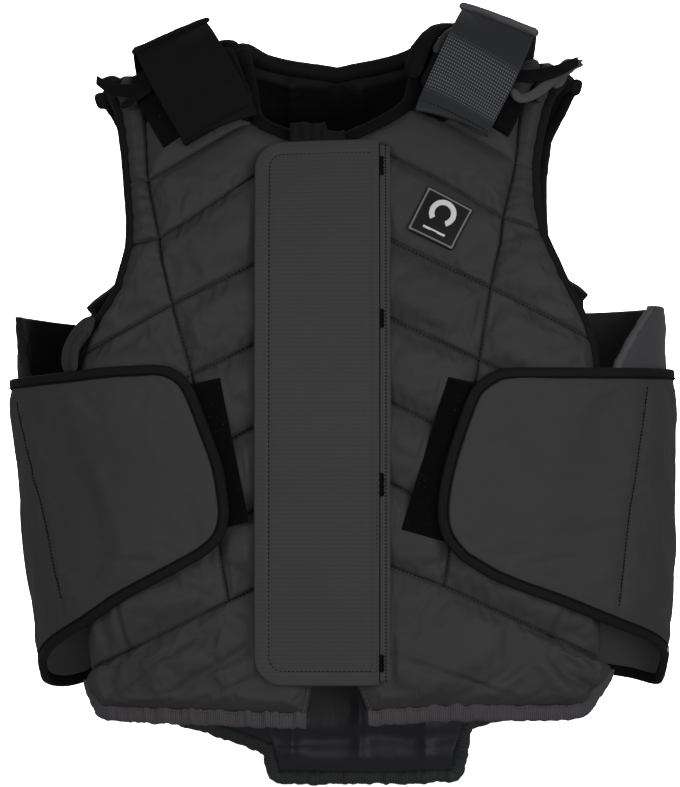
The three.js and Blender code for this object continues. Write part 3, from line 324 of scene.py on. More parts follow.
def outward(x, w):
    """Normal of the outer face, turned into the seam's plane near the shoulder's top."""
    step = 0.6
    normal = np.cross(face(x + step, w) - face(x - step, w), face(x, w + step) - face(x, w - step))
    normal[..., 1] *= eased(SHOULDER_GAP, SQUARED_REACH, np.abs(w - SHOULDER_TOP))
    return unit(normal)


def shell(x, w, depth):
    """The outer face at x and w, sunk by depth along its normal."""
    return face(x, w) - outward(x, w) * np.asarray(depth)[..., None]


def run_at(x, z, back):
    """The w at which the face at x reaches height z, on the back or the front, by halving."""
    x, z, back = np.broadcast_arrays(np.asarray(x, float), np.asarray(z, float), back)
    low, high = np.where(back, PROFILE_END, 0.0), np.full(z.shape, SHOULDER_TOP)
    for _ in range(30):
        middle = (low + high) / 2
        below = face(x, middle)[..., 2] < z
        low, high = np.where(below, middle, low), np.where(below, high, middle)
    return (low + high) / 2


ANGLES = np.linspace(0, np.pi, 721)
RING_X = HALF_WIDTH * np.sin(ANGLES) ** (2 / SECTION_POWER)
RING_Y = -np.sign(np.cos(ANGLES)) * HALF_DEPTH * np.abs(np.cos(ANGLES)) ** (2 / SECTION_POWER)
RING_G = np.concatenate([[0], np.cumsum(np.hypot(np.diff(RING_X), np.diff(RING_Y)))])
HALF_GIRTH = RING_G[-1]


def ring(side, g, z):
    """Point at girth g round the side and height z, on a superellipse of that height's size."""
    angle = np.interp(g, RING_G, ANGLES)
    cosine = np.cos(angle)
    w = run_at(0, z, cosine < 0)
    x = SIDES[side] * half_width(SIDES[side], z) * np.sin(angle) ** (2 / SECTION_POWER)
    y = through(PROFILE_W, PROFILE[:, 0], w) * np.abs(cosine) ** (2 / SECTION_POWER)
    return np.stack([x, y, z + 0 * x], axis=-1)


def around(side, g, z, depth):
    """The ring's point sunk by depth towards the body."""
    step = 1.5
    along = ring(side, g + step, z) - ring(side, g - step, z)
    up = ring(side, g, z + step) - ring(side, g, z - step)
    normal = unit(np.cross(along, up)) * SIDES[side]
    return ring(side, g, z) - normal * np.asarray(depth)[..., None]


def sewn_girth(side, z):
    """Girth at which the back pad's side edge stands at height z."""
    rows = [row for row in BACK_ROWS[side] if row[2]]
    corners = np.array(["corner" in row[3] for row in rows])
    x = through([row[2][-1] for row in rows], [row[1][-1] for row in rows], z / DROP, corners) * HALF_WIDTH
    sine = (x / half_width(SIDES[side], z)) ** (SECTION_POWER / 2)
    return np.interp(np.pi - np.arcsin(sine), ANGLES, RING_G) - SEWN_GAP


# Roughness of cloth

def lumps(a, b, size, seed):
    """Smooth unevenness from -1 to 1: random values on a lattice of the given size, eased between."""
    values = np.random.default_rng(seed).uniform(-1, 1, (64, 64))
    a, b = np.broadcast_arrays(np.asarray(a, float) / size, np.asarray(b, float) / size)
    i, j = np.floor(a).astype(int), np.floor(b).astype(int)
    s, t = eased(0, 1, a - i), eased(0, 1, b - j)
    low = mixed(values[i % 64, j % 64], values[(i + 1) % 64, j % 64], s)
    high = mixed(values[i % 64, (j + 1) % 64], values[(i + 1) % 64, (j + 1) % 64], s)
    return mixed(low, high, t)


def puckers(distance, along, pitch, reach, seed):
    """Gathers beside a seam: waves along it, of uneven pitch and height, that die out with distance."""
    drift = 2.2 * lumps(along, distance, 3 * pitch, seed)
    height = 0.55 + 0.45 * lumps(along, 0, 2.3 * pitch, seed + 1)
    fade = np.exp(-((distance / reach) ** 2)) * np.minimum(distance / 1.5, 1)
    return height * np.sin(2 * np.pi * along / pitch + drift) * fade


def folds(a, b, table):
    """Creases and soft ridges: each row's straight line from (a0, b0) to (a1, b1), with a bell-shaped
    height across and ends that fade."""
    total = np.zeros(np.broadcast(a, b).shape)
    for a0, b0, a1, b1, width, height in table:
        length = math.hypot(a1 - a0, b1 - b0)
        ta, tb = (a1 - a0) / length, (b1 - b0) / length
        along = (a - a0) * ta + (b - b0) * tb
        across = (a - a0) * tb - (b - b0) * ta
        fade = eased(-0.25, 0.25, along / length) * eased(1.25, 0.75, along / length)
        total = total + height * np.exp(-((across / width) ** 2)) * fade
    return total


# Meshes

def cells(grid):
    """Quads between the points of a grid of indices."""
    a, b, c, d = grid[:-1, :-1], grid[:-1, 1:], grid[1:, 1:], grid[1:, :-1]
    return np.stack([a, b, c, d], axis=-1).reshape(-1, 4)


def closed(outer, inner, open_first=0):
    """Two matching grids joined by walls round their edges: points, quads and, for each quad, 0 for
    the outer face, 1 for the inner face and 2 for a wall. The first column's wall is left out on its
    first open_first rows, where another half joins on."""
    n, m = outer.shape[:2]
    front = np.arange(n * m).reshape(n, m)
    back = front + n * m
    walls = []
    for edge, other in (
        (front[0, :], back[0, :]), (front[:, -1], back[:, -1]),
        (front[-1, ::-1], back[-1, ::-1]), (front[open_first:, 0][::-1], back[open_first:, 0][::-1]),
    ):
        walls.append(np.stack([edge[1:], edge[:-1], other[:-1], other[1:]], axis=-1))
    quads = [cells(front), cells(back)[:, ::-1], np.concatenate(walls)]
    kinds = np.repeat([0, 1, 2], [len(q) for q in quads])
    return np.concatenate([outer.reshape(-1, 3), inner.reshape(-1, 3)]), np.concatenate(quads), kinds


def tube(rings):
    """A closed bar from rings of points (stations, round, 3), with a fan-free cap at each end made of
    the end ring drawn in to its own middle."""
    first, last = rings[:1], rings[-1:]
    caps = [first.mean(axis=1, keepdims=True) * t + first * (1 - t) for t in (1, 0.5)]
    ends = [last.mean(axis=1, keepdims=True) * t + last * (1 - t) for t in (0.5, 1)]
    rows = np.concatenate([*caps, rings, *ends])
    n, m = rows.shape[:2]
    grid = np.arange(n * m).reshape(n, m)
    grid = np.concatenate([grid, grid[:, :1]], axis=1)
    return rows.reshape(-1, 3), cells(grid)


def facing_out(points, quads):
    """The quads turned round if the body they close has a negative volume."""
    a, b, c, d = (points[quads[:, k]] for k in range(4))
    volume = (a * np.cross(b, c)).sum() + (a * np.cross(c, d)).sum()
    return quads[:, ::-1] if volume < 0 else quads


def made(name, points, quads, materials, kinds=None, uv=None, sharp=None, weld=False):
    """A mesh object with its place in its mesh. kinds picks each quad's material, uv is a value in mm
    per point, sharp marks quads that are shaded flat."""
    if weld:
        _, first, same = np.unique(np.round(points, 3), axis=0, return_index=True, return_inverse=True)
        same = same.ravel()
        points, quads = points[first], same[quads]
        uv = None if uv is None else uv[first]
    quads = facing_out(points, quads)
    mesh = bpy.data.meshes.new(name)
    mesh.vertices.add(len(points))
    mesh.vertices.foreach_set("co", (points * MM).astype(np.float32).ravel())
    mesh.loops.add(quads.size)
    mesh.loops.foreach_set("vertex_index", quads.astype(np.int32).ravel())
    mesh.polygons.add(len(quads))
    mesh.polygons.foreach_set("loop_start", np.arange(0, quads.size, 4, dtype=np.int32))
    mesh.polygons.foreach_set("use_smooth", np.ones(len(quads), bool) if sharp is None else ~sharp)
    for material in materials:
        mesh.materials.append(material)
    if kinds is not None:
        mesh.polygons.foreach_set("material_index", kinds.astype(np.int32))
    if uv is not None:
        layer = mesh.uv_layers.new(name="UVMap")
        layer.data.foreach_set("uv", (uv[quads] * MM).astype(np.float32).ravel())
    mesh.validate()
    mesh.update()
    piece = bpy.data.objects.new(name, mesh)
    bpy.context.scene.collection.objects.link(piece)
    return piece


def panel(name, outer, inner, place, materials, flat_walls=True):
    """A panel between its outer and inner face. place is where each point lies on the flat cloth, and a
    second material is for the inner face and the walls."""
    points, quads, kinds = closed(outer, inner)
    uv = np.stack(place, axis=-1).reshape(-1, 2)
    picked = np.minimum(kinds, 1) if len(materials) > 1 else None
    return made(
        name, points, quads, materials, picked, np.concatenate([uv, uv]), kinds == 2 if flat_walls else None,
    )


def rolled(name, rings, along, across, material):
    """A closed bar from its rings. along and across are the flat cloth's places down and round it."""
    points, quads = tube(rings)
    rows = np.concatenate([[along[0]] * 2, along, [along[-1]] * 2])
    uv = np.stack(np.broadcast_arrays(rows[:, None], across[None]), axis=-1).reshape(-1, 2)
    return made(name, points, quads, [material], uv=uv)


def fitted(piece, slot, *nodes):
    """Carries the piece on the vest, in place of the solids named."""
    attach(piece, "root")
    if nodes:
        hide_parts(*nodes)
    return piece


def billowed(points, held, slack, push, cap, frames=20):
    """Shift of a cover's points after it is let out as cloth: held is the share by which each point is
    pinned, slack the spare length, push the pressure of the foam behind it, cap the most it may move."""
    n, m = points.shape[:2]
    quads = cells(np.arange(n * m).reshape(n, m))
    mesh = bpy.data.meshes.new("cover_cloth")
    mesh.from_pydata((points.reshape(-1, 3) * MM).tolist(), [], quads.tolist())
    cover = bpy.data.objects.new("cover_cloth", mesh)
    bpy.context.scene.collection.objects.link(cover)
    pins = cover.vertex_groups.new(name="pins")
    levels = np.round(np.clip(held, 0, 1).ravel() * 10).astype(int)
    for level in range(1, 11):
        pins.add(np.flatnonzero(levels == level).tolist(), level / 10, "REPLACE")
    cloth = cover.modifiers.new("cloth", "CLOTH")
    for setting, value in {
        "quality": 6, "mass": 0.2, "tension_stiffness": 20, "compression_stiffness": 20, "shear_stiffness": 6,
        "bending_stiffness": 0.05, "use_pressure": True, "uniform_pressure_force": push, "shrink_min": -slack,
        "vertex_group_mass": "pins", "pin_stiffness": 1,
    }.items():
        setattr(cloth.settings, setting, value)
    cloth.settings.effector_weights.gravity = 0
    cloth.collision_settings.use_collision = False
    cloth.point_cache.frame_start, cloth.point_cache.frame_end = 1, frames
    for step in range(1, frames + 1):
        bpy.context.scene.frame_set(step)
    settled = cover.evaluated_get(bpy.context.evaluated_depsgraph_get())
    after = np.empty(n * m * 3, np.float32)
    settled.data.vertices.foreach_get("co", after)
    bpy.data.objects.remove(cover)
    bpy.context.scene.frame_set(1)
    shift = after.reshape(n, m, 3) / MM - points
    length = np.linalg.norm(shift, axis=-1, keepdims=True)
    return shift * np.minimum(1, cap / np.maximum(length, 1e-6))


def resampled(values, from_rows, from_columns, rows, columns):
    """A grid's values read off at other rows and columns, straight between its own."""
    for axis, (before, after) in enumerate(((from_rows, rows), (from_columns, columns))):
        spot = np.interp(after, before, np.arange(len(before)))
        low = np.minimum(spot.astype(int), len(before) - 2)
        share = (spot - low).reshape([-1 if k == axis else 1 for k in range(3)])
        values = mixed(np.take(values, low, axis), np.take(values, low + 1, axis), share)
    return values


def short_bars(middle, along, up, aside, share, girth, height, width, sunk=0.0):
    """Many short six-sided bars at once, from four rings each: share is a ring's place along the bar,
    girth the share of the height and width that it has, sunk how far it is raised or sunk."""
    turn = np.arange(6) * np.pi / 3
    rise = np.asarray(sunk + 0 * girth)[:, None] + girth[:, None] * height * np.sin(turn)
    rings = (
        middle[:, None, None]
        + along[:, None, None] * share[None, :, None, None]
        + up[:, None, None] * rise[None, ..., None]
        + aside[:, None, None] * (girth[:, None] * width * np.cos(turn))[None, ..., None]
    )
    base = np.arange(24).reshape(4, 6)
    sides = cells(np.concatenate([base, base[:, :1]], axis=1))
    tips = np.array([[3, 2, 1, 0], [5, 4, 3, 0], [18, 19, 20, 21], [18, 21, 22, 23]])
    quads = np.concatenate([sides, tips])[None] + 24 * np.arange(len(middle))[:, None, None]
    return rings.reshape(-1, 3), quads.reshape(-1, 4)


def stitched(name, path, up, stitch, material, slot):
    """A row of stitches: short bars, thick in the middle and thin at their ends, laid along a path at
    an even pitch and raised along up. stitch is the pitch, the length and the thread's thickness."""
    pitch, length, thread = stitch
    steps = run_length(path)

    def read(values, at):
        return np.stack([np.interp(at, steps, values[:, k]) for k in range(3)], axis=-1)

    at = np.arange(pitch / 2, steps[-1], pitch)
    lift, ahead = unit(read(up, at)), unit(read(path, at + 0.6) - read(path, at - 0.6))
    share, girth = np.array([-0.5, -0.3, 0.3, 0.5]), np.array([0.25, 1, 1, 0.25])
    sunk = np.array([-0.5, 0.35, 0.35, -0.5]) * thread
    aside = unit(np.cross(lift, ahead))
    bars = short_bars(read(path, at), ahead, lift, aside, share * length, girth, thread / 2, thread / 2, sunk)
    fitted(made(name, *bars, [material]), slot)


# Materials

class Nodes:
    """Adds nodes to a tree and links them by name."""

    def __init__(self, tree):
        self.tree = tree

    def add(self, kind, settings=None, **inputs):
        """A node of the kind. Inputs are sockets or values, by number after an i or by label."""
        node = self.tree.nodes.new(kind)
        for key, value in (settings or {}).items():
            setattr(node, key, value)
        for key, value in inputs.items():
            numbered = key[0] == "i" and key[1:].isdigit()
            socket = node.inputs[int(key[1:]) if numbered else key.replace("_", " ")]
            if isinstance(value, bpy.types.NodeSocket):
                self.tree.links.new(value, socket)
            else:
                socket.default_value = value
        return node

    def math(self, operation, a, b=0.0):
        """The output of a Math node."""
        return self.add("ShaderNodeMath", {"operation": operation}, i0=a, i1=b).outputs[0]


def group(name, inputs, output_name, output_kind, build):
    """A shader node group with float or vector inputs and one output."""
    tree = bpy.data.node_groups.new(name, "ShaderNodeTree")
    for label, kind in inputs:
        tree.interface.new_socket(label, in_out="INPUT", socket_type=kind)
    tree.interface.new_socket(output_name, in_out="OUTPUT", socket_type=output_kind)
    nodes = Nodes(tree)
    given = tree.nodes.new("NodeGroupInput")
    result = build(nodes, given.outputs)
    leaving = tree.nodes.new("NodeGroupOutput")
    tree.links.new(result, leaving.inputs[0])
    return tree


VECTOR, FLOAT = "NodeSocketVector", "NodeSocketFloat"


def weave_height(nodes, given):
    """Plain weave: the product of two sines across and along, of the given pitch."""
    split = nodes.add("ShaderNodeSeparateXYZ", i0=given["Cloth"])
    rate = nodes.math("DIVIDE", 2 * math.pi, given["Pitch"])
    a = nodes.math("SINE", nodes.math("MULTIPLY", split.outputs[0], rate))
    b = nodes.math("SINE", nodes.math("MULTIPLY", split.outputs[1], rate))
    return nodes.math("ADD", nodes.math("MULTIPLY", nodes.math("MULTIPLY", a, b), 0.5), 0.5)


def rib_height(nodes, given):
    """Ribs along one direction of the cloth: a sine of the given pitch, made rounder at its crest."""
    split = nodes.add("ShaderNodeSeparateXYZ", i0=given["Cloth"])
    across = nodes.math("MULTIPLY", split.outputs[0], given["Across"])
    along = nodes.math("MULTIPLY", split.outputs[1], nodes.math("SUBTRACT", 1.0, given["Across"]))
    turned = nodes.math("ADD", across, along)
    wave = nodes.math("SINE", nodes.math("MULTIPLY", turned, nodes.math("DIVIDE", math.pi, given["Pitch"])))
    return nodes.math("POWER", nodes.math("ABSOLUTE", wave), 0.6)


def mottle_tone(nodes, given):
    """Uneven tone from wear and handling: two sizes of noise, added."""
    wide = nodes.add("ShaderNodeTexNoise", i0=given["Place"], Scale=14.0, Detail=3.0, Roughness=0.6)
    fine = nodes.add("ShaderNodeTexNoise", i0=given["Place"], Scale=160.0, Detail=4.0, Roughness=0.65)
    both = nodes.math(
        "ADD", nodes.math("MULTIPLY", wide.outputs[0], 0.65), nodes.math("MULTIPLY", fine.outputs[0], 0.35),
    )
    return nodes.math("ADD", 1.0, nodes.math("MULTIPLY", nodes.math("SUBTRACT", both, 0.5), given["Amount"]))


def lint_mask(nodes, given):
    """Specks of lint: the few highest points of a fine noise."""
    noise = nodes.add("ShaderNodeTexNoise", i0=given["Place"], Scale=900.0, Detail=2.0)
    return nodes.math("MULTIPLY", nodes.math("GREATER_THAN", noise.outputs[0], 0.72), given["Amount"])


WEAVE = group("plain_weave", [("Cloth", VECTOR), ("Pitch", FLOAT)], "Height", FLOAT, weave_height)
RIBS = group(
    "cloth_ribs", [("Cloth", VECTOR), ("Pitch", FLOAT), ("Across", FLOAT)], "Height", FLOAT, rib_height,
)
MOTTLE = group("cloth_mottle", [("Place", VECTOR), ("Amount", FLOAT)], "Tone", FLOAT, mottle_tone)
LINT = group("lint", [("Place", VECTOR), ("Amount", FLOAT)], "Mask", FLOAT, lint_mask)


def linear(r, g, b):
    """A display colour, 0 to 255 each, as the linear colour that a shader takes."""
    c = np.array([r, g, b]) / 255
    c = np.where(c <= 0.04045, c / 12.92, ((c + 0.055) / 1.055) ** 2.4)
    return (*c.tolist(), 1.0)


def dot_mask(nodes, cloth, band):
    """Pale woven dots in rows, inside a band of the cloth's length, fading at both of its edges."""
    split = nodes.add("ShaderNodeSeparateXYZ", i0=cloth)
    across = nodes.math("SINE", nodes.math("MULTIPLY", split.outputs[0], 2 * math.pi / 0.0016))
    along = nodes.math("SINE", nodes.math("MULTIPLY", split.outputs[1], 2 * math.pi / 0.0024))
    dots = nodes.add(
        "ShaderNodeMapRange",
        i0=nodes.math("MULTIPLY", nodes.math("ADD", across, 1.0), nodes.math("ADD", along, 1.0)), i1=1.0,
        i2=3.2,
    )
    low = nodes.add("ShaderNodeMapRange", i0=split.outputs[1], i1=band[0] - 0.003, i2=band[0] + 0.003)
    high = nodes.add("ShaderNodeMapRange", i0=split.outputs[1], i1=band[1] + 0.003, i2=band[1] - 0.003)
    return nodes.math(
        "MULTIPLY", nodes.math("MULTIPLY", dots.outputs[0], 0.36),
        nodes.math("MULTIPLY", low.outputs[0], high.outputs[0]),
    )


def cloth_material(name, colour, rough=0.6, weave=0.55, weave_depth=0.06, ribs=None, rib_depth=0.0,
                   rib_tone=0.0, mottle=0.25, lint=0.1, crumple=0.0, sheen=0.05, rib_across=0.0,
                   specular=0.3, dots=None):
    """A woven cloth: its colour varied by mottle and ribs, and a bump from weave, ribs and crumple.
    Pitches and depths are in mm. dots is the band of the cloth's length that has pale woven dots."""
    material = bpy.data.materials.new(name)
    material.use_nodes = True
    tree = material.node_tree
    nodes = Nodes(tree)
    shader = tree.nodes["Principled BSDF"]
    shader.inputs["Sheen Weight"].default_value = sheen
    shader.inputs["Sheen Roughness"].default_value = 0.45
    shader.inputs["Specular IOR Level"].default_value = specular
    place = nodes.add("ShaderNodeTexCoord")
    cloth, at = place.outputs["UV"], place.outputs["Object"]
    tone = nodes.add("ShaderNodeGroup", {"node_tree": MOTTLE}, Place=at, Amount=mottle).outputs[0]
    height = nodes.math(
        "MULTIPLY",
        nodes.add("ShaderNodeGroup", {"node_tree": WEAVE}, Cloth=cloth, Pitch=weave * MM).outputs[0],
        weave_depth,
    )
    if ribs:
        rib = nodes.add(
            "ShaderNodeGroup", {"node_tree": RIBS}, Cloth=cloth, Pitch=ribs * MM, Across=rib_across,
        ).outputs[0]
        height = nodes.math("ADD", height, nodes.math("MULTIPLY", rib, rib_depth))
        tone = nodes.math(
            "MULTIPLY", tone, nodes.math("ADD", 1 - rib_tone, nodes.math("MULTIPLY", rib, rib_tone)),
        )
    if crumple:
        noise = nodes.add("ShaderNodeTexNoise", i0=at, Scale=90.0, Detail=3.0, Distortion=0.6)
        height = nodes.math("ADD", height, nodes.math("MULTIPLY", noise.outputs[0], crumple))
    base = nodes.add("ShaderNodeMix", {"data_type": "RGBA", "blend_type": "MULTIPLY"}, i0=1.0)
    base.inputs["A"].default_value = colour
    grey = nodes.add("ShaderNodeCombineColor", i0=tone, i1=tone, i2=tone)
    tree.links.new(grey.outputs[0], base.inputs["B"])
    mask = nodes.add("ShaderNodeGroup", {"node_tree": LINT}, Place=at, Amount=lint).outputs[0]
    specked = nodes.add("ShaderNodeMix", {"data_type": "RGBA"}, i0=mask)
    tree.links.new(base.outputs["Result"], specked.inputs["A"])
    specked.inputs["B"].default_value = (0.16, 0.16, 0.16, 1.0)
    coloured = specked.outputs["Result"]
    if dots:
        dotted = nodes.add("ShaderNodeMix", {"data_type": "RGBA"}, i0=dot_mask(nodes, cloth, dots))
        tree.links.new(coloured, dotted.inputs["A"])
        dotted.inputs["B"].default_value = linear(178, 184, 196)
        coloured = dotted.outputs["Result"]
    tree.links.new(coloured, shader.inputs["Base Color"])
    rough_value = nodes.math("MULTIPLY", nodes.math("ADD", 1.35, nodes.math("MULTIPLY", tone, -0.35)), rough)
    tree.links.new(rough_value, shader.inputs["Roughness"])
    bump = nodes.add("ShaderNodeBump", Height=height, Strength=1.0, Distance=MM)
    tree.links.new(bump.outputs[0], shader.inputs["Normal"])
    return material


SHELL = cloth_material(
    "satin_shell_nylon", linear(61, 61, 61), rough=0.62, specular=0.18, sheen=0.0, weave=0.6,
    weave_depth=0.05, crumple=0.35, mottle=0.3,
)
FLAP_CLOTH = cloth_material(
    "ribbed_flap_nylon", linear(66, 66, 66), rough=0.6, specular=0.2, sheen=0.0, ribs=3.0, rib_depth=0.12,
    rib_tone=0.08, mottle=0.2,
)
BINDING = cloth_material(
    "binding_tape", linear(21, 21, 22), sheen=0.0, specular=0.15, rough=0.75, weave=0.9, weave_depth=0.12,
    ribs=1.6, rib_depth=0.08, rib_across=1.0,
)
# A darker copy of the binding tape, for the neck bindings: its darker colour is painted shade at the neck.
NECK_TAPE_SHADED = cloth_material(
    "neck_tape_painted_shade", linear(12, 12, 13), sheen=0.0, specular=0.12, rough=0.8, weave=0.9, weave_depth=0.12,
    ribs=1.6, rib_depth=0.08,
)
HEM = cloth_material(
    "ribbed_hem_tape", linear(78, 75, 80), rough=0.7, ribs=1.6, rib_depth=0.35, rib_tone=0.35,
    rib_across=1.0, mottle=0.35,
)
SHOULDER_CLOTH = cloth_material(
    "dark_shoulder_cloth", linear(10, 10, 11), sheen=0.0, specular=0.15, rough=0.8, crumple=0.6, mottle=0.4,
)
# A darker copy of the shell cloth, for the rolls of folded cloth at the neck, shoulders and armhole: painted
# shade in the folds.
FOLD_GREY_SHADED = cloth_material(
    "folded_shell_cloth_shaded", linear(47, 47, 48), specular=0.2, rough=0.65, crumple=0.6, mottle=0.4,
)
ELASTIC_LIGHT = cloth_material(
    "light_elastic", linear(80, 79, 80), specular=0.2, rough=0.7, ribs=1.3, rib_depth=0.2, rib_across=1.0,
    mottle=0.4,
)
# A lighter, glossier copy of the satin lining, for the part that shows in the tail: painted light on the
# lining.
TAIL_LINING_LIT = cloth_material(
    "tail_satin_lit_copy", linear(36, 35, 40), rough=0.38, weave=0.5, weave_depth=0.03, crumple=0.4, sheen=0.1,
)
LINING = cloth_material(
    "satin_lining", linear(14, 14, 16), specular=0.15, rough=0.6, weave=0.5, weave_depth=0.03, crumple=0.4,
    sheen=0.0,
)
LOOP = cloth_material(
    "loop_pile", linear(9, 9, 10), rough=0.95, weave=1.1, weave_depth=0.4, mottle=0.5, lint=0.35,
    sheen=0.03, specular=0.08, crumple=0.3,
)
WEBBING = {
    "left": cloth_material(
        "strap_webbing_dark", linear(20, 20, 21), sheen=0.0, specular=0.12, rough=0.8, weave=1.3,
        weave_depth=0.14, ribs=1.6, rib_depth=0.08, rib_tone=0.15,
    ),
    "right": cloth_material(
        "strap_webbing_grey", linear(42, 43, 45), rough=0.6, weave=1.3, weave_depth=0.14, ribs=1.6,
        rib_depth=0.08, rib_tone=0.15, dots=(-0.086, -0.044),
    ),
}
ELASTIC = cloth_material(
    "elastic_band", linear(15, 15, 16), sheen=0.0, specular=0.12, rough=0.8, ribs=1.3, rib_depth=0.25,
    rib_across=1.0,
)
TAB_EDGE = {
    "left": cloth_material(
        "tab_tape_dark", linear(24, 24, 25), sheen=0.0, rough=0.8, ribs=1.8, rib_depth=0.2, rib_tone=0.25,
    ),
    "right": cloth_material(
        "tab_tape", linear(92, 92, 94), rough=0.7, ribs=1.8, rib_depth=0.3, rib_tone=0.35, mottle=0.5,
    ),
}
THREAD = cloth_material(
    "dark_thread", linear(12, 12, 13), sheen=0.0, specular=0.1, rough=0.8, weave_depth=0.0, lint=0.0,
    mottle=0.1,
)
THREAD_BROWN = cloth_material(
    "brown_thread", linear(104, 78, 74), rough=0.6, weave_depth=0.0, lint=0.0, mottle=0.1,
)
RUBBER = cloth_material(
    "badge_rubber", linear(18, 18, 19), rough=0.45, weave_depth=0.0, lint=0.05, mottle=0.15, sheen=0.0,
    crumple=0.05,
)
RUBBER_EDGE = cloth_material(
    "badge_raised_edge", linear(120, 122, 126), rough=0.5, weave_depth=0.0, lint=0.0, sheen=0.0,
)
RUBBER_LIGHT = cloth_material(
    "badge_light_rubber", linear(225, 226, 228), rough=0.5, weave_depth=0.0, lint=0.0, sheen=0.0,
)
# Cloth of the strap rolls: dark on the left. On the right it is much lighter than the grey webbing it is
# folded from, a painted highlight on the roll.
ROLL_CLOTH_AND_HIGHLIGHT = {
    "left": cloth_material(
        "strap_roll_dark", linear(17, 17, 18), rough=0.8, specular=0.12, weave=1.3, weave_depth=0.14,
    ),
    "right": cloth_material("strap_roll_grey_painted_highlight", linear(86, 86, 90), rough=0.6, weave=1.3, weave_depth=0.14),
}
TAIL_TAPE = cloth_material(
    "tail_tape", linear(46, 50, 50), rough=0.6, ribs=2.0, rib_depth=0.3, rib_tone=0.3, rib_across=1.0,
)
WING_INSIDE = cloth_material("wing_inside_cloth", linear(92, 92, 94), rough=0.65, crumple=0.2)
TAB_CLOTH = {
    "left": cloth_material("tab_cloth_dark", linear(20, 20, 21), rough=0.85, crumple=0.5),
    "right": cloth_material("tab_cloth_grey", linear(66, 66, 68), rough=0.6, crumple=0.5),
}
ZIP_TAPE = cloth_material("zip_teeth", linear(32, 32, 34), rough=0.4, weave_depth=0.0, lint=0.0, sheen=0.0)


# Pads

class PadPlan:
    """A pad laid flat. Each row of the table becomes points (x, w), one per column, and v is the length
    along the measure column."""

    def __init__(self, side, table, measure, back, inner_x):
        self.names = [row[0] for row in table]
        self.sewn = np.array(["sewn" in row[3] for row in table])
        self.corners = np.array(["corner" in row[3] for row in table])
        x = np.array([row[1] for row in table]) * SIDES[side] * HALF_WIDTH
        x[:, 0] += inner_x
        z = np.array([row[2] or (0,) * x.shape[1] for row in table], float) * DROP
        top = SHOULDER_TOP + (0.5 if back else -0.5) * SHOULDER_GAP
        on_top = np.array(["top" in row[3] for row in table])[:, None]
        self.x, self.w = x, np.where(on_top, top, run_at(x, z, back))
        steps = np.hypot(np.diff(self.x[:, measure]), np.diff(self.w[:, measure]))
        self.v = np.concatenate([[0], np.cumsum(steps)])
        self.end, self.last = self.v[-1], x.shape[1] - 1
        self.columns_from = 0.0 if back else self.row("line 7")

    def row(self, name):
        return self.v[self.names.index(name)]

    def point(self, u, v):
        """x and w at column u and length v: smooth along the columns, straight between them."""
        u, v = np.broadcast_arrays(np.asarray(u, float), np.asarray(v, float))
        i = np.clip(np.floor(u).astype(int), 0, self.last - 1)
        found = []
        for values in (self.x, self.w):
            columns = np.stack([through(self.v, values[:, k], v, self.corners) for k in range(self.last + 1)])
            a = np.take_along_axis(columns, i[None], 0)[0]
            b = np.take_along_axis(columns, i[None] + 1, 0)[0]
            found.append(mixed(a, b, u - i))
        return found

    def spread(self, a, b, v):
        """Distance along a row from column a to column b."""
        (x0, w0), (x1, w1) = self.point(a, v), self.point(b, v)
        return np.hypot(x1 - x0, w1 - w0)

    def edge_distance(self, u, v, joined):
        """Distance to the pad's edge; below v = joined the inner edge is joined to the other half."""
        beside = self.spread(u, 0, v)
        inner = np.where(v >= joined, beside, np.hypot(beside, joined - v))
        return np.minimum(np.minimum(inner, self.spread(u, self.last, v)), np.minimum(v, self.end - v))

    def channels(self, u, v):
        """For each sewn channel: distance from it, and place along it."""
        x, w = self.point(u, v)
        across = [(np.abs(v - row) * 0.92, x) for row, sewn in zip(self.v, self.sewn) if sewn]
        past = np.maximum(self.columns_from - v, 0)
        return across + [(np.hypot(self.spread(u, k, v), past), w) for k in range(1, self.last)]


def valley(distance, depth, reach):
    """Depth of a sewn valley: deepest on its line and rising ever more gently away from it."""
    return depth * (1 - np.minimum(distance / reach, 1)) ** 1.5


def quilted(plan, u, v, joined, seed):
    """Depth of a quilted cover: a rounded rim, narrow channels with gathers beside them, and foam
    blocks that crown between the channels."""
    edge = plan.edge_distance(u, v, joined)
    rim = valley(edge, RIM_DEPTH, RIM_REACH)
    sunk, nearest, gathers = rim**4, edge + 6, np.zeros(edge.shape)
    for k, (distance, along) in enumerate(plan.channels(u, v)):
        block = valley(distance, CHANNEL_DEPTH - GROOVE_DEPTH / 2, BLOCK_REACH)
        sunk = sunk + (block + valley(distance, GROOVE_DEPTH, GROOVE_REACH)) ** 4
        nearest = np.minimum(nearest, distance)
        gathers = gathers + puckers(distance, along, 9.5, 8, seed + 3 * k)
    crown = CROWN_HEIGHT * (1 - np.exp(-((nearest / CROWN_REACH) ** 2)))
    x, w = plan.point(u, v)
    uneven = 0.5 * lumps(x, w, 38, seed) + 0.25 * lumps(x, w, 15, seed + 1)
    return sunk**0.25 - crown - 0.42 * gathers - uneven * eased(2, 18, nearest)


def pins_of(plan, u, v, joined):
    """Share by which the cover is held: fully on its channels and rim, and less away from them."""
    near = plan.edge_distance(u, v, joined) - 5
    for distance, _ in plan.channels(u, v):
        near = np.minimum(near, distance)
    return 1 - eased(0.8, 4.5, near)


BESIDE = np.array([-1.7, -0.8, 0.8, 1.7])


def crowded(stations, extra, least):
    """Stations with extra ones among them, none closer than the least distance."""
    every = np.sort(np.concatenate([stations, np.clip(extra, stations[0], stations[-1])]))
    return every[np.concatenate([[True], np.diff(every) > least])]


def steps_through(marks, pitch):
    """Even stations of about the pitch that also pass through each mark."""
    spans = zip(marks[:-1], marks[1:])
    parts = [np.linspace(a, b, max(2, round((b - a) / pitch) + 1))[:-1] for a, b in spans]
    return np.concatenate([*parts, marks[-1:]])


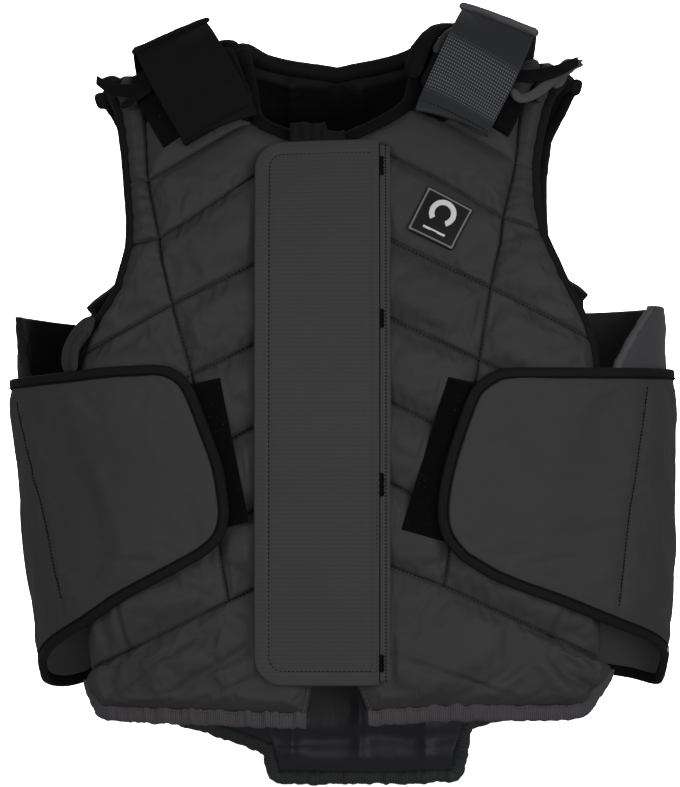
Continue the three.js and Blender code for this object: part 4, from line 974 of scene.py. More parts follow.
def across_steps(plan, pitch, closer=True):
    """Stations across a pad, in columns, closer together beside its upright channels."""
    widths = [np.max(plan.spread(k, k + 1, plan.v)) for k in range(plan.last)]
    parts = [k + np.linspace(0, 1, max(3, round(width / pitch)) + 1)[:-1] for k, width in enumerate(widths)]
    if not closer:
        return np.concatenate([*parts, [plan.last]])
    extra = [k + BESIDE / widths[k] for k in range(1, plan.last)]
    return crowded(np.concatenate([*parts, [plan.last]]), np.concatenate(extra), 0.3 / max(widths))


def upright_steps(plan, pitch):
    """Stations up a pad, closer together beside its sewn rows."""
    extra = [row + BESIDE for row, sewn in zip(plan.v, plan.sewn) if sewn]
    return crowded(steps_through(plan.v, pitch), np.concatenate(extra), 0.3)


def lining_depth(plan, u, v, joined):
    """The lining: smooth, and drawn in at the edges to meet the rim."""
    rise = PAD_THICKNESS - RIM_DEPTH - RIM_THICKNESS
    return PAD_THICKNESS - valley(plan.edge_distance(u, v, joined), rise, RIM_REACH)


SHORT_SEAMS = {
    # as the folds below
    "left": [(-155, -374, -150, -409, 2.2, -3.2), (-92, -437, -57, -422, 2.2, -2.0)],
    "right": [(157.5, -378, 152.5, -400, 2.2, -3.2), (40, -407, 112, -431, 2.2, -2.4)],
}
SKIRT_FOLDS = {
    # x, z at each end, half-width and height of a ridge (or crease, where less than 0)
    "left": [(-158, -438, -98, -398, 9, 3.5), (-150, -428, -92, -388, 5, -2.6),
             (-128, -432, -70, -390, 8, 3.2), (-112, -432, -60, -400, 5, -2.2),
             (-88, -440, -52, -404, 7, 2.6), (-170, -425, -160, -400, 6, 2.9)],
    "right": [(182, -425, 158, -395, 6, 3.8), (190, -438, 150, -412, 4, -3.2), (168, -440, 138, -408, 6, 2.9),
              (60, -430, 110, -400, 9, 2.9), (80, -440, 130, -412, 5, -1.9), (40, -425, 60, -395, 7, 2.2)],
}


def kept_flat(side, x, w, z):
    """Share by which a front pad's cover can't swell under what lies on it: the flap and its seam
    strip, the loop patch, the badge, and the straps at the shoulder."""
    sides = eased(FLAP_FREE - 7, FLAP_FREE - 1, x) * eased(
        FLAP_SEWN + SEAM_STRIP + 7, FLAP_SEWN + SEAM_STRIP + 1, x,
    )
    flap = sides * eased(FLAP_BOTTOM - 8, FLAP_BOTTOM - 2, w) * eased(FLAP_TOP + 8, FLAP_TOP + 2, w)
    (low_in, _), (low_out, low), (high_in, high), (high_out, _) = LOOP_PATCHES[side]
    share = np.clip((z / DROP - low) / (high - low), 0, 1)
    inner, outer = mixed(low_in, high_in, share) * HALF_WIDTH, mixed(low_out, high_out, share) * HALF_WIDTH
    reach = np.abs(x)
    patch = eased(inner - 8, inner - 3, reach) * eased(outer + 8, outer + 3, reach)
    patch = patch * eased(low * DROP - 12, low * DROP - 6, z) * eased(high * DROP + 10, high * DROP + 4, z)
    shoulder = eased(-74, -58, z)
    held = np.maximum(np.maximum(flap, patch), shoulder)
    if side == "right":
        badge_w = run_at(BADGE_X, -0.2 * DROP, False)
        held = np.maximum(held, eased(35, 27, np.hypot(x - BADGE_X, w - badge_w)))
    return held


def front_pad(side):
    """A front pad: its quilted cover and its lining, joined by walls that the bindings hide."""
    sign = SIDES[side]
    inner_x = ZIP_X + sign * (ZIP_WIDTH / 2 + GAP)
    plan = PadPlan(side, FRONT_ROWS[side], 1, False, inner_x)
    seed = PAD_SEEDS[side]

    def sewn_cover(u, v):
        """The cover before it swells: quilted, ruffled at the armhole, and folded below line 7."""
        x, w = plan.point(u, v)
        depth = quilted(plan, u, v, 0, seed)
        above_wing = eased(plan.row("line 3") - 10, plan.row("line 3") + 10, v)
        depth = depth - 0.9 * above_wing * puckers(plan.spread(u, plan.last, v), w, 15, 16, seed + 50)
        place = face(x, w)
        below = eased(plan.row("line 7") + 6, plan.row("line 7") - 20, v)
        depth = depth - below * folds(place[..., 0], place[..., 2], SKIRT_FOLDS[side])
        depth = depth - folds(place[..., 0], place[..., 2], SHORT_SEAMS[side])
        if side == "left":
            beside_flap = eased(FLAP_FREE - 26, FLAP_FREE, x) * eased(FLAP_TOP + 12, FLAP_TOP - 8, w)
            depth = depth + 2.6 * beside_flap * eased(FLAP_BOTTOM - 16, FLAP_BOTTOM + 6, w)
        return shell(x, w, depth)

    coarse_u, coarse_v = np.meshgrid(
        across_steps(plan, CLOTH_PITCH, closer=False), steps_through(plan.v, CLOTH_PITCH),
    )
    pinned = pins_of(plan, coarse_u, coarse_v, 0)
    swell = billowed(sewn_cover(coarse_u, coarse_v), pinned, slack=0.035, push=3.0, cap=3.5)
    u, v = np.meshgrid(across_steps(plan, FRONT_PITCH), upright_steps(plan, FRONT_PITCH))
    x, w = plan.point(u, v)
    place = face(x, w)
    free = 1 - kept_flat(side, x, w, place[..., 2])[..., None]
    cover = sewn_cover(u, v) + free * resampled(swell, coarse_v[:, 0], coarse_u[0], v[:, 0], u[0])
    lining = shell(x, w, lining_depth(plan, u, v, 0))
    points, quads, kinds = closed(cover, lining)
    uv = np.stack([x, w], axis=-1).reshape(-1, 2)
    kinds_of = np.minimum(kinds, 1)
    corner_u, corner_v = (a.ravel()[quads[: (kinds == 0).sum()]].mean(axis=1) for a in (u, v))
    high = place[..., 2].ravel()[quads[: (kinds == 0).sum()]].mean(axis=1) > -26
    dark = high & (corner_v > plan.row("line 1")) & (corner_u < (plan.last - 1 if side == "left" else 0.45))
    kinds_of[: len(dark)][dark] = 2
    pad = made(
        f"front_pad_cover_{side}", points, quads, [SHELL, LINING, SHOULDER_CLOTH], kinds_of,
        np.concatenate([uv, uv]), kinds == 2,
    )
    fitted(pad, "shell", f"front_pad_{side[0]}")
    quilt_thread(f"quilt_thread_{side}", plan, seed)
    return plan


def quilt_thread(name, plan, seed):
    """The thread in a pad's channels: one row of stitches along each, at the bottom of its groove."""
    across = np.linspace(0.02, plan.last - 0.02, 160)
    upwards = np.linspace(plan.columns_from, plan.end - RIM_REACH, 260)
    rows = [(across, np.full(160, row)) for row, sewn in zip(plan.v, plan.sewn) if sewn]
    rows += [(np.full(260, float(k)), upwards) for k in range(1, plan.last)]
    for k, (u, v) in enumerate(rows):
        x, w = plan.point(u, v)
        depth = quilted(plan, u, v, 0, seed)
        stitched(f"{name}_{k + 1}", shell(x, w, depth - 0.15), outward(x, w), QUILT_STITCH, THREAD, "shell")


def bar(name, line, s, turn, width, top, bottom, material, ruffle, seed, slot, node):
    """A rounded binding carried along an edge: its section is a squared ellipse from the edge outwards,
    width by the rim's thickness, its size and place uneven along the edge by the ruffle."""
    x, w = line(s)
    edge = face(x, w)
    normal = outward(x, w)
    along = unit(np.gradient(edge, axis=0))
    out = unit(np.cross(along, normal)) * turn
    length = run_length(edge)
    turn_angle, a, b = section(20, 0.75)
    waves = ruffle * (lumps(length, 0, 7, seed) + 0.6 * lumps(length, 0, 3.2, seed + 1))
    fine = 0.35 * ruffle * lumps(length[:, None], turn_angle[None] * 12, 3, seed + 2)
    half_wide = (np.asarray(width) / 2 * np.ones(len(x)))[:, None]
    middle = (top + bottom) / 2
    out_at = (half_wide - 0.9) + waves[:, None] * 0.5 + (half_wide + 1.6 + fine) * a[None]
    sunk = middle + waves[:, None] * 0.8 + ((bottom - top) / 2 + fine) * b[None]
    rings = edge[:, None] + out[:, None] * out_at[..., None] - normal[:, None] * sunk[..., None]
    fitted(rolled(name, rings, length, turn_angle * 4, material), slot, node)
    return edge, normal, out


RIM_TOP = RIM_DEPTH - BINDING_OVERHANG
RIM_BOTTOM = RIM_DEPTH + RIM_THICKNESS + BINDING_OVERHANG


def hem_line(plan, s, flare):
    """x and w along the hem to the outer corner, round it, and up the side as far as the flare."""
    u = np.minimum(s, plan.last)
    v = np.maximum(s - plan.last, 0) / flare * plan.row("flare")
    x, w = plan.point(u, v)
    kernel = np.hanning(25) / np.hanning(25).sum()
    pad = [np.concatenate([np.full(12, a[0]), a, np.full(12, a[-1])]) for a in (x, w)]
    round_off = [np.convolve(a, kernel, "valid") for a in pad]
    near = eased(0.35, 0.1, np.abs(s - plan.last))
    return [mixed(a, b, near) for a, b in zip((x, w), round_off)]


def front_trim(side, plan):
    """Bindings at the neck and armhole of a front pad, and the gathered tape along its hem."""
    sign, letter, seed = SIDES[side], side[0], 61 if side == "left" else 83
    v = steps_through(np.array([plan.row("neck corner"), plan.end]), 1.6)
    # The neck binding takes the darker copy of the binding tape: painted shade at the neck.
    bar(f"neck_binding_{side}", lambda s: plan.point(0, s), v, -sign, NECK_BINDING + 3, RIM_TOP, RIM_BOTTOM,
        NECK_TAPE_SHADED, 0.45, seed, "binding", f"neck_binding_{letter}")
    v = steps_through(np.array([plan.row("line 3") - ARM_BINDING_START, plan.end]), 1.6)
    bar(f"arm_binding_{side}", lambda s: plan.point(plan.last, s), v, sign, ARM_BINDING, RIM_TOP, RIM_BOTTOM,
        BINDING, 0.4, seed + 3, "binding", f"arm_binding_{letter}")
    flare = plan.row("flare") / plan.spread(0, plan.last, np.array(0.0)) * plan.last
    t = np.linspace(0, plan.last + 1.15 * flare, 320)
    tape_width = HEM_TAPE * mixed(1, 0.25, eased(plan.last - 0.1, plan.last + 1.15 * flare, t))
    edge, normal, out = bar(
        f"hem_tape_{side}", lambda s: hem_line(plan, s, flare), t, sign, tape_width, RIM_TOP,
        RIM_TOP + HEM_TAPE_THICKNESS, HEM, 1.5, seed + 6, "hem", f"hem_tape_{letter}",
    )
    line = edge - normal * (RIM_TOP - 0.2) + out * 0.6
    stitched(f"hem_stitches_{side}", line, normal, HEM_STITCH, THREAD_BROWN, "hem")
    v = np.linspace(1, 30, 30)
    u = 2.4 / plan.spread(0, 1, v)
    x, w = plan.point(u, v)
    line = shell(x, w, quilted(plan, u, v, 0, PAD_SEEDS[side]) - 0.3)
    stitched(f"opening_stitches_{side}", line, outward(x, w), HEM_STITCH, THREAD_BROWN, "hem")


BACK_CHANNELS_X = (-35, 17, 68)


def back_pad():
    """The back pad in two halves joined along the middle: its quilted cover, and a satin lining whose
    lengthwise channels and cross ridge show in the tail."""
    halves, parts, uvs = {}, [], []
    for side in SIDES:
        plan = PadPlan(side, BACK_ROWS[side], 0, True, 0)
        across = across_steps(plan, BACK_PITCH)
        along = upright_steps(plan, BACK_PITCH)
        u, v = np.meshgrid(across, along)
        x, w = plan.point(u, v)
        joined = plan.row("neck")
        cover = shell(x, w, quilted(plan, u, v, joined, 101))
        depth = lining_depth(plan, u, v, joined)
        place = face(x, w)
        edge = plan.edge_distance(u, v, joined)
        tail = eased(-400, -430, place[..., 2]) * eased(0, 10, edge)
        for k, at in enumerate(BACK_CHANNELS_X):
            depth = depth + 3.2 * np.exp(-(np.abs(x - at) / 4) ** 1.4) * eased(0, 12, edge)
            depth = depth + 0.5 * puckers(np.abs(x - at), w, 11, 10, 131 + k)
        ridge = -np.exp(-(((place[..., 2] + 480 + 3 * lumps(x, 0, 30, 5)) / 6) ** 2))
        depth = depth + 1.8 * ridge * tail + 1.1 * lumps(x, w, 17, 140) * eased(2, 20, edge)
        lining = shell(x, w, depth)
        below = int(np.searchsorted(along, joined - 1e-6))
        points, quads, kinds = closed(cover, lining, open_first=below)
        if side == "left":
            quads = quads[:, ::-1]
        uv = np.stack([x, w], axis=-1).reshape(-1, 2)
        parts.append((points, quads, kinds))
        uvs.append(np.concatenate([uv, uv]))
        halves[side] = plan
    offset = len(parts[0][0])
    points = np.concatenate([parts[0][0], parts[1][0]])
    quads = np.concatenate([parts[0][1], parts[1][1] + offset])
    kinds = np.concatenate([parts[0][2], parts[1][2]])
    cloth = np.minimum(kinds, 1)
    # Inner faces below z -380 take the lighter copy of the lining: painted light where the tail shows.
    cloth[(kinds == 1) & (points[quads, 2].mean(axis=1) < -380)] = 2
    pad = made(
        "back_pad_cover", points, quads, [SHELL, LINING, TAIL_LINING_LIT], cloth, np.concatenate(uvs),
        kinds == 2, weld=True,
    )
    fitted(pad, "shell", "back_pad")
    return halves


def back_trim(halves):
    """Bindings of the back pad: neck, tail and armholes. s below 0 is the left half."""
    def across_both(on_half):
        def line(s):
            left, right = on_half(halves["left"], np.abs(s)), on_half(halves["right"], np.abs(s))
            return [np.where(s < 0, a, b) for a, b in zip(left, right)]
        return line

    def above_neck(plan, t):
        return plan.point(0, plan.row("neck") + np.minimum(t, plan.end - plan.row("neck")))

    def along_hem(plan, t):
        return plan.point(t, 0)

    reach = halves["left"].end - halves["left"].row("neck")
    s = np.linspace(-reach, reach, 240)
    bar("back_neck_binding_roll", across_both(above_neck), s, 1, NECK_BINDING, RIM_TOP, RIM_BOTTOM,
        BINDING, 0.4, 151, "binding", "back_neck_binding")
    u = np.linspace(-halves["left"].last, halves["right"].last, 560)
    bar("tail_binding_ruffle", across_both(along_hem), u, -1, TAIL_BINDING, RIM_TOP, RIM_BOTTOM,
        TAIL_TAPE, 1.3, 157, "binding", "tail_binding")
    for side, sign in SIDES.items():
        plan = halves[side]
        v = steps_through(np.array([plan.row("arm pit"), plan.end]), 2.0)
        bar(f"back_arm_binding_roll_{side}", lambda t, p=plan: p.point(p.last, t), v, -sign, ARM_BINDING,
            RIM_TOP, RIM_BOTTOM, BINDING, 0.4, 163 + sign, "binding", f"back_arm_binding_{side[0]}")


# Zip and storm flap

def zip_run(at):
    """The w at which the zip's line reaches the height of a row of the left front pad's inner edge."""
    row = next(r for r in FRONT_ROWS["left"] if r[0] == at)
    return float(run_at(ZIP_X, row[2][0] * DROP, False))


ZIP_TOP, ZIP_BOTTOM = zip_run("neck corner"), zip_run("line 7")


def zip_teeth():
    """Zip: a tape, and a coil of teeth as short rounded bars laid alternately from each side."""
    w = np.linspace(ZIP_BOTTOM, ZIP_TOP, 190)
    x = np.linspace(-ZIP_WIDTH / 2, ZIP_WIDTH / 2, 7)
    xx, ww = np.meshgrid(ZIP_X + x, w)
    crown = 0.5 * (1 - (xx - ZIP_X) ** 2 / (ZIP_WIDTH / 2) ** 2)
    front, back = shell(xx, ww, RIM_DEPTH + 0.4 - crown), shell(xx, ww, RIM_DEPTH + 4.4)
    fitted(panel("zip_tape", front, back, (xx, ww), [BINDING]), "zip", "zip")
    at = np.arange(ZIP_BOTTOM + 2, ZIP_TOP - 1, 1.35)
    offset = np.where(np.arange(len(at)) % 2, 0.75, -0.75)
    middle = shell(ZIP_X + offset, at, RIM_DEPTH - 0.25)
    normal = outward(ZIP_X + offset, at)
    aside = np.array([1.0, 0, 0]) * np.ones((len(at), 1))
    ahead = unit(np.cross(normal, aside))
    share, girth = np.array([-1.35, -1.1, 1.1, 1.35]), np.array([0.4, 1, 1, 0.4])
    teeth = short_bars(middle, aside, normal, ahead, share, girth, 0.55, 0.5)
    fitted(made("zip_coil", *teeth, [ZIP_TAPE]), "zip")


def zip_slider():
    """Slider: a waisted body whose crown falls to both ends."""
    v, u = np.meshgrid(np.linspace(-1, 1, 25), np.linspace(-1, 1, 17), indexing="ij")
    waist = 3.0 * (1 - 0.22 * np.cos(v * np.pi) * 0.5 - 0.1)
    x = ZIP_X + u * waist
    w = ZIP_TOP - 24 + v * 8
    round_off = (1 - np.abs(u) ** 3) ** 0.5 * (1 - np.abs(v) ** 4) ** 0.5
    bottom = RIM_DEPTH - 0.9
    points, quads, kinds = closed(shell(x, w, bottom - 0.6 - 3.4 * round_off), shell(x, w, bottom + 0 * u))
    fitted(made("zip_slider_body", points, quads, [ZIP_TAPE], sharp=kinds == 2), "zip", "zip_slider")


FLAP_TOP = ZIP_TOP - 2
FLAP_BOTTOM = zip_run("flare") - FLAP_BELOW_FLARE
FLAP_SEWN, FLAP_FREE = ZIP_X + FLAP_RIGHT, ZIP_X - FLAP_LEFT
FLAP_BORDER = 10.5


def flap_edge(v):
    """x of the flap's free edge: straight, with quarter circles at its two corners."""
    beyond = np.maximum(np.maximum(FLAP_BOTTOM + FLAP_CORNER - v, v - FLAP_TOP + FLAP_CORNER), 0)
    return FLAP_FREE + FLAP_CORNER - np.sqrt(np.maximum(FLAP_CORNER**2 - beyond**2, 0))


def flap_inset(x, v):
    """Distance from (x, v) to the flap's free outline: sides, ends and rounded corners."""
    left = x - FLAP_FREE
    low, high = v - FLAP_BOTTOM, FLAP_TOP - v
    end = np.minimum(low, high)
    square = np.minimum(left, end)
    round_off = FLAP_CORNER - np.hypot(FLAP_CORNER - left, FLAP_CORNER - end)
    return np.where((left < FLAP_CORNER) & (end < FLAP_CORNER), round_off, square)


def storm_flap():
    """Storm flap: a flat ribbed panel with a folded border, thinner at its rounded edges, that ripples
    a little along its free edge."""
    ends = 1 - np.cos(np.linspace(0, np.pi / 2, 16))
    low, high = FLAP_BOTTOM + FLAP_CORNER, FLAP_TOP - FLAP_CORNER
    v = np.concatenate([
        FLAP_BOTTOM + FLAP_CORNER * ends, np.linspace(low, high, 250)[1:-1],
        FLAP_TOP - FLAP_CORNER * ends[::-1],
    ])
    share = np.concatenate([[0, 0.004, 0.01, 0.02, 0.035], np.linspace(0.05, 0.97, 60), [0.985, 1]])
    uu, vv = np.meshgrid(share, v)
    left = flap_edge(vv)
    x = mixed(left, FLAP_SEWN, uu)
    inset = np.minimum(flap_inset(x, vv), FLAP_SEWN - x + 4)
    rounded = rounded_edge(inset, 1.5, 0)
    lift = FLAP_LIFT + FLAP_THICKNESS / 2 + 0.8 * eased(26, 0, inset) * (0.5 + 0.5 * lumps(vv, 0, 46, 171))
    lift = lift + 0.35 * lumps(x, vv, 55, 173)
    seam = 0.55 * np.exp(-(((inset - FLAP_BORDER) / 1.1) ** 2)) - 0.35 * eased(
        FLAP_BORDER + 1, FLAP_BORDER - 2, inset,
    )
    gathers = 0.12 * puckers(np.abs(inset - FLAP_BORDER), vv + x, 6, 6, 175)
    half = FLAP_THICKNESS / 2 * rounded
    outer = shell(x, vv, -(lift + half - seam * rounded + gathers * rounded))
    inner = shell(x, vv, -(lift - half))
    flap = panel("storm_flap_panel", outer, inner, (x, vv), [FLAP_CLOTH], flat_walls=False)
    fitted(flap, "flap", "storm_flap")
    border_line("flap_stitches", FLAP_BORDER)


def border_line(name, inset):
    """Topstitching round the flap: down its sewn side, along the ends and round the corners."""
    radius = FLAP_CORNER - inset
    turn = np.linspace(0, np.pi / 2, 12)
    low, high = FLAP_BOTTOM + FLAP_CORNER, FLAP_TOP - FLAP_CORNER
    left, right = FLAP_FREE + FLAP_CORNER, FLAP_SEWN - 1.8
    bottom_y, top_y = FLAP_BOTTOM + inset, FLAP_TOP - inset
    x = np.concatenate([
        np.linspace(right, left, 40), left - radius * np.sin(turn), np.full(200, left - radius),
        left - radius * np.cos(turn), np.linspace(left, right, 40), np.full(220, right),
    ])
    w = np.concatenate([
        np.full(40, bottom_y), low - radius * np.cos(turn), np.linspace(low, high, 200),
        high + radius * np.sin(turn), np.full(40, top_y), np.linspace(top_y, bottom_y, 220),
    ])
    path = shell(x, w, np.full(x.shape, -(FLAP_LIFT + FLAP_THICKNESS + 0.2)))
    stitched(name, path, outward(x, w), FLAP_STITCH, THREAD, "flap")


TACKS = ((156, 175), (310, 328), (473, 496), (655, 672))  # photo rows of the bar tacks


def seam_strip():
    """The strip that sews the flap down, falling away from the flap, with bar tacks across it."""
    v = np.linspace(FLAP_BOTTOM + 3, FLAP_TOP - 4, 260)
    share = np.linspace(0, 1, 9)
    uu, vv = np.meshgrid(share, v)
    x = FLAP_SEWN + GAP + uu * SEAM_STRIP + 0.35 * uu * lumps(vv, 0, 22, 181)
    height = FLAP_LIFT + FLAP_THICKNESS * (1 - 0.55 * uu**1.4) + 0.25 * uu * lumps(vv, 3, 9, 183)
    height = height - 0.5 * np.exp(-((uu - 0.02) / 0.08) ** 2)
    outer, inner = shell(x, vv, -height), shell(x, vv, -FLAP_LIFT + 0 * uu)
    fitted(panel("flap_seam_strip_fold", outer, inner, (x, vv), [FLAP_CLOTH]), "flap", "flap_seam_strip")
    x = np.full(v.shape, FLAP_SEWN + GAP + 0.6 * SEAM_STRIP)
    line = shell(x, v, np.full(v.shape, -(FLAP_LIFT + FLAP_THICKNESS * 0.85)))
    stitched("seam_strip_stitches", line, outward(x, v), STRIP_STITCH, THREAD, "flap")
    for k, (top, bottom) in enumerate(TACKS):
        z = (TOP_ROW - np.linspace(bottom, top, 40)) * PIXEL_SIZE
        run = run_at(FLAP_SEWN, z, False)
        zigzag = np.where(np.arange(40) % 2, 1.6, -1.6)
        x = FLAP_SEWN + 1.5 + zigzag
        path = shell(x, run, np.full(x.shape, -(FLAP_LIFT + FLAP_THICKNESS)))
        stitched(f"bar_tack_{k + 1}", path, outward(x, run), TACK_STITCH, THREAD, "flap")


# Wings, tabs and loop patches

def border_run(side, rows, count):
    """Points (g, z) along one edge of a wing at even steps of its length."""
    z = np.array([row[1] for row in rows]) * DROP
    seam = sewn_girth(side, z)
    g = np.array([seam[k] if row[0] is None else row[0] * HALF_GIRTH for k, row in enumerate(rows)], float)
    s = run_length(np.stack([g, z], axis=-1))
    at = np.linspace(0, s[-1], count)
    return np.stack([through(s, g, at), through(s, z, at)], axis=-1)


WING_COUNTS = (110, 84)


def wing_border(side):
    """Bottom edge from the tip to the rear, tip from the bottom to the top, top edge likewise."""
    edges = WING_EDGES[side]
    bottom = border_run(side, [*edges["bottom"], edges["tip"][0]], WING_COUNTS[0])[::-1]
    tip = border_run(side, [*edges["tip"], edges["top"][0]], WING_COUNTS[1])
    top = border_run(side, edges["top"], WING_COUNTS[0])
    return bottom, tip, top


def inset_border(bottom, tip, top, distance):
    """The three edges moved inwards; their rear ends slide along the rear edge."""
    line = np.concatenate([bottom[::-1], tip[1:], top[1:]])
    ahead = np.concatenate([line[1:], line[-1:]]) - np.concatenate([line[:1], line[:-1]])
    normal = unit(np.stack([-ahead[:, 1], ahead[:, 0]], axis=-1))
    moved = line - normal * distance
    moved[0] = line[0] + (0, distance)
    moved[-1] = line[-1] - (0, distance)
    n, m = len(bottom), len(tip)
    return moved[:n][::-1], moved[n - 1:n + m - 1], moved[n + m - 2:]


def wing_depth(side, g, z):
    """Depth of a wing's inner face: sunk to the back pad's rim at its seam, proud of the front pad."""
    sewn = RIM_DEPTH + WING_THICKNESS + 0.5
    return mixed(sewn, -WING_LIFT, eased(0, WING_RISE_RUN, sewn_girth(side, z) - g))


def filled(bottom, tip, top):
    """A net over the wing from its edges: the lengthwise and the upright blends, less the blend of the
    four corners. Rows run from the bottom to the top, columns from the tip to the rear."""
    u = np.linspace(0, 1, len(bottom))[None, :, None]
    v = np.linspace(0, 1, len(tip))[:, None, None]
    rear = mixed(bottom[-1], top[-1], v)
    lengthwise = mixed(bottom[None], top[None], v)
    upright = mixed(tip[:, None], rear, u)
    corners = mixed(mixed(bottom[0], top[0], v), rear, u)
    return lengthwise + upright - corners


WING_FOLDS = {
    # girth, z at each end, half-width and height of a ridge (or crease, where less than 0)
    "left": [(200, -262, 330, -372, 16, 1.3), (240, -300, 300, -352, 9, -0.8),
             (330, -250, 318, -330, 10, 1.0), (340, -240, 300, -420, 5, -1.6),
             (352, -250, 322, -400, 9, 1.4), (300, -410, 260, -396, 8, 1.3)],
    "right": [(200, -270, 300, -350, 18, 1.1), (230, -320, 280, -380, 10, 1.0),
              (318, -250, 330, -360, 12, 0.9), (330, -240, 300, -420, 5, -1.4),
              (342, -250, 318, -400, 9, 1.2), (290, -405, 255, -392, 8, 1.2)],
}
WING_SEAM = {"left": ((26, 399), (49, 500), (70, 606)), "right": ((640, 384), (622, 510), (612, 615))}


def pixel_at(y):
    """Size of the photo's pixel at y."""
    return PIXEL_SIZE * (y - CAMERA_Y) / PIXEL_DISTANCE


def seen_girth(side, px, py):
    """Girth and height of the side's point that the photo shows at a pixel."""
    z = (TOP_ROW - np.asarray(py, float)) * PIXEL_SIZE
    g = np.linspace(0.1, 0.52, 400) * HALF_GIRTH
    found = []
    for x_pixel, height in zip(px, z):
        spot = ring(side, g, height + 0 * g)
        column = (spot[:, 0] - CAMERA_X) / pixel_at(spot[:, 1]) + MIDDLE_COLUMN
        found.append(g[np.argmin(np.abs(column - x_pixel))])
    return np.array(found), z


def wing(side):
    """A waist wing: two layers of cloth over thin foam, rounded where the binding grips them, with soft
    creases and an upright seam."""
    letter = side[0]
    edges = wing_border(side)
    net = filled(*inset_border(*edges, WING_BINDING - 1.5))
    g, z = net[..., 0], net[..., 1]
    n, m = g.shape
    i, j = np.meshgrid(np.arange(m), np.arange(n))
    steps = np.minimum(np.minimum(i * 3.2, (n - 1 - j) * 1.7), j * 1.7)
    soft = eased(0, 9, steps)
    seam_px = np.array(WING_SEAM[side], float)
    seam_g, seam_z = seen_girth(side, seam_px[:, 0], seam_px[:, 1])
    seam_at = np.interp(z, seam_z[::-1], seam_g[::-1])
    apart = np.abs(g - seam_at)
    bulge = 0.9 * soft + folds(g, z, WING_FOLDS[side]) * soft + 0.35 * lumps(g, z, 34, 191) * soft
    behind = eased(0, 8, g - seam_at)
    bulge = bulge - 1.5 * np.exp(-((apart / 1.8) ** 2)) * soft + 0.5 * puckers(apart, z, 13, 9, 193)
    bulge = bulge + 1.1 * behind * soft * lumps(g * 1.6 + z * 0.5, z * 0.45, 15, 195)
    base = wing_depth(side, g, z)
    outer = around(side, g, z, base - WING_THICKNESS - bulge)
    pinned = 1 - eased(3, 16, np.minimum(steps, 2 * apart))
    outer = outer + billowed(outer, pinned, slack=0.006, push=0.6, cap=2.0, frames=14)
    inner = around(side, g, z, base + 0 * g)
    piece = panel(f"wing_panel_{side}", outer, inner, (g, z), [SHELL, WING_INSIDE])
    fitted(piece, "shell", f"wing_{letter}")

    line = np.concatenate([edges[0][::-1], edges[1][1:], edges[2][1:]])
    bottom, tip, top = inset_border(*edges, WING_BINDING)
    within = np.concatenate([bottom[::-1], tip[1:], top[1:]])
    length = run_length(line)
    turn_angle, a, b = section(18, 0.55)
    share = 0.5 - 0.5 * a
    gz = line[:, None] + (within - line)[:, None] * share[None, :, None]
    gathers = 0.25 * lumps(length[:, None], turn_angle[None] * 5, 4, 197)
    thick = (WING_THICKNESS / 2 + 0.9) * b[None] + gathers
    depth = wing_depth(side, gz[..., 0], gz[..., 1]) - WING_THICKNESS / 2 - thick
    rings = around(side, gz[..., 0], gz[..., 1], depth)
    binding = rolled(f"wing_binding_fold_{side}", rings, length, turn_angle * 5, BINDING)
    fitted(binding, "binding", f"wing_binding_{letter}")

    by_height = np.linspace(seam_z[0] - 2, seam_z[-1] + 4, 200)
    upright = np.stack([np.interp(by_height, seam_z[::-1], seam_g[::-1]), by_height], axis=-1)
    around_edge = (line + (within - line) * 0.78)[4:-4]
    nearest = [np.argmin(np.hypot(g - a, z - b)) for a, b in upright]
    raised = np.pad(np.linalg.norm(outer - inner, axis=-1).ravel()[nearest], 6, mode="edge")
    raised = np.convolve(raised, np.full(13, 1 / 13), "valid") + 0.35
    for name, gz, height in (
        ("wing_binding_stitches", around_edge, WING_THICKNESS + 1.0),
        ("wing_seam_stitches", upright, raised),
    ):
        depth = wing_depth(side, gz[:, 0], gz[:, 1]) - height
        path = around(side, gz[:, 0], gz[:, 1], depth)
        up = path - around(side, gz[:, 0], gz[:, 1], depth + 1)
        stitched(f"{name}_{side}", path, up, WING_STITCH, THREAD, "binding")


def loop_patch(side):
    """A patch of loop pile under the wing's tip: flat, its edges rounded down, its face rough."""
    corners = np.array(LOOP_PATCHES[side])
    u, v = np.meshgrid(np.linspace(0, 1, 44), np.linspace(0, 1, 110))
    low = mixed(corners[0], corners[1], u[..., None])
    high = mixed(corners[2], corners[3], u[..., None])
    spot = mixed(low, high, v[..., None])
    clear = -FLAP_FREE if side == "left" else FLAP_SEWN + SEAM_STRIP + GAP
    x = SIDES[side] * np.maximum(spot[..., 0] * HALF_WIDTH, clear + 2 * GAP)
    w = run_at(x, spot[..., 1] * DROP, False)
    steps = np.minimum(np.minimum(u, 1 - u) * 33, np.minimum(v, 1 - v) * 105)
    pile = PATCH_THICKNESS * rounded_edge(steps, 1.2, 0.02) + 0.3 * lumps(x, w, 2.4, 199) * eased(0, 2, steps)
    outer, inner = shell(x, w, -PATCH_LIFT - pile), shell(x, w, -PATCH_LIFT + 0 * u)
    fitted(panel(f"loop_pile_{side}", outer, inner, (x, w), [LOOP]), "loop", f"loop_patch_{side[0]}")


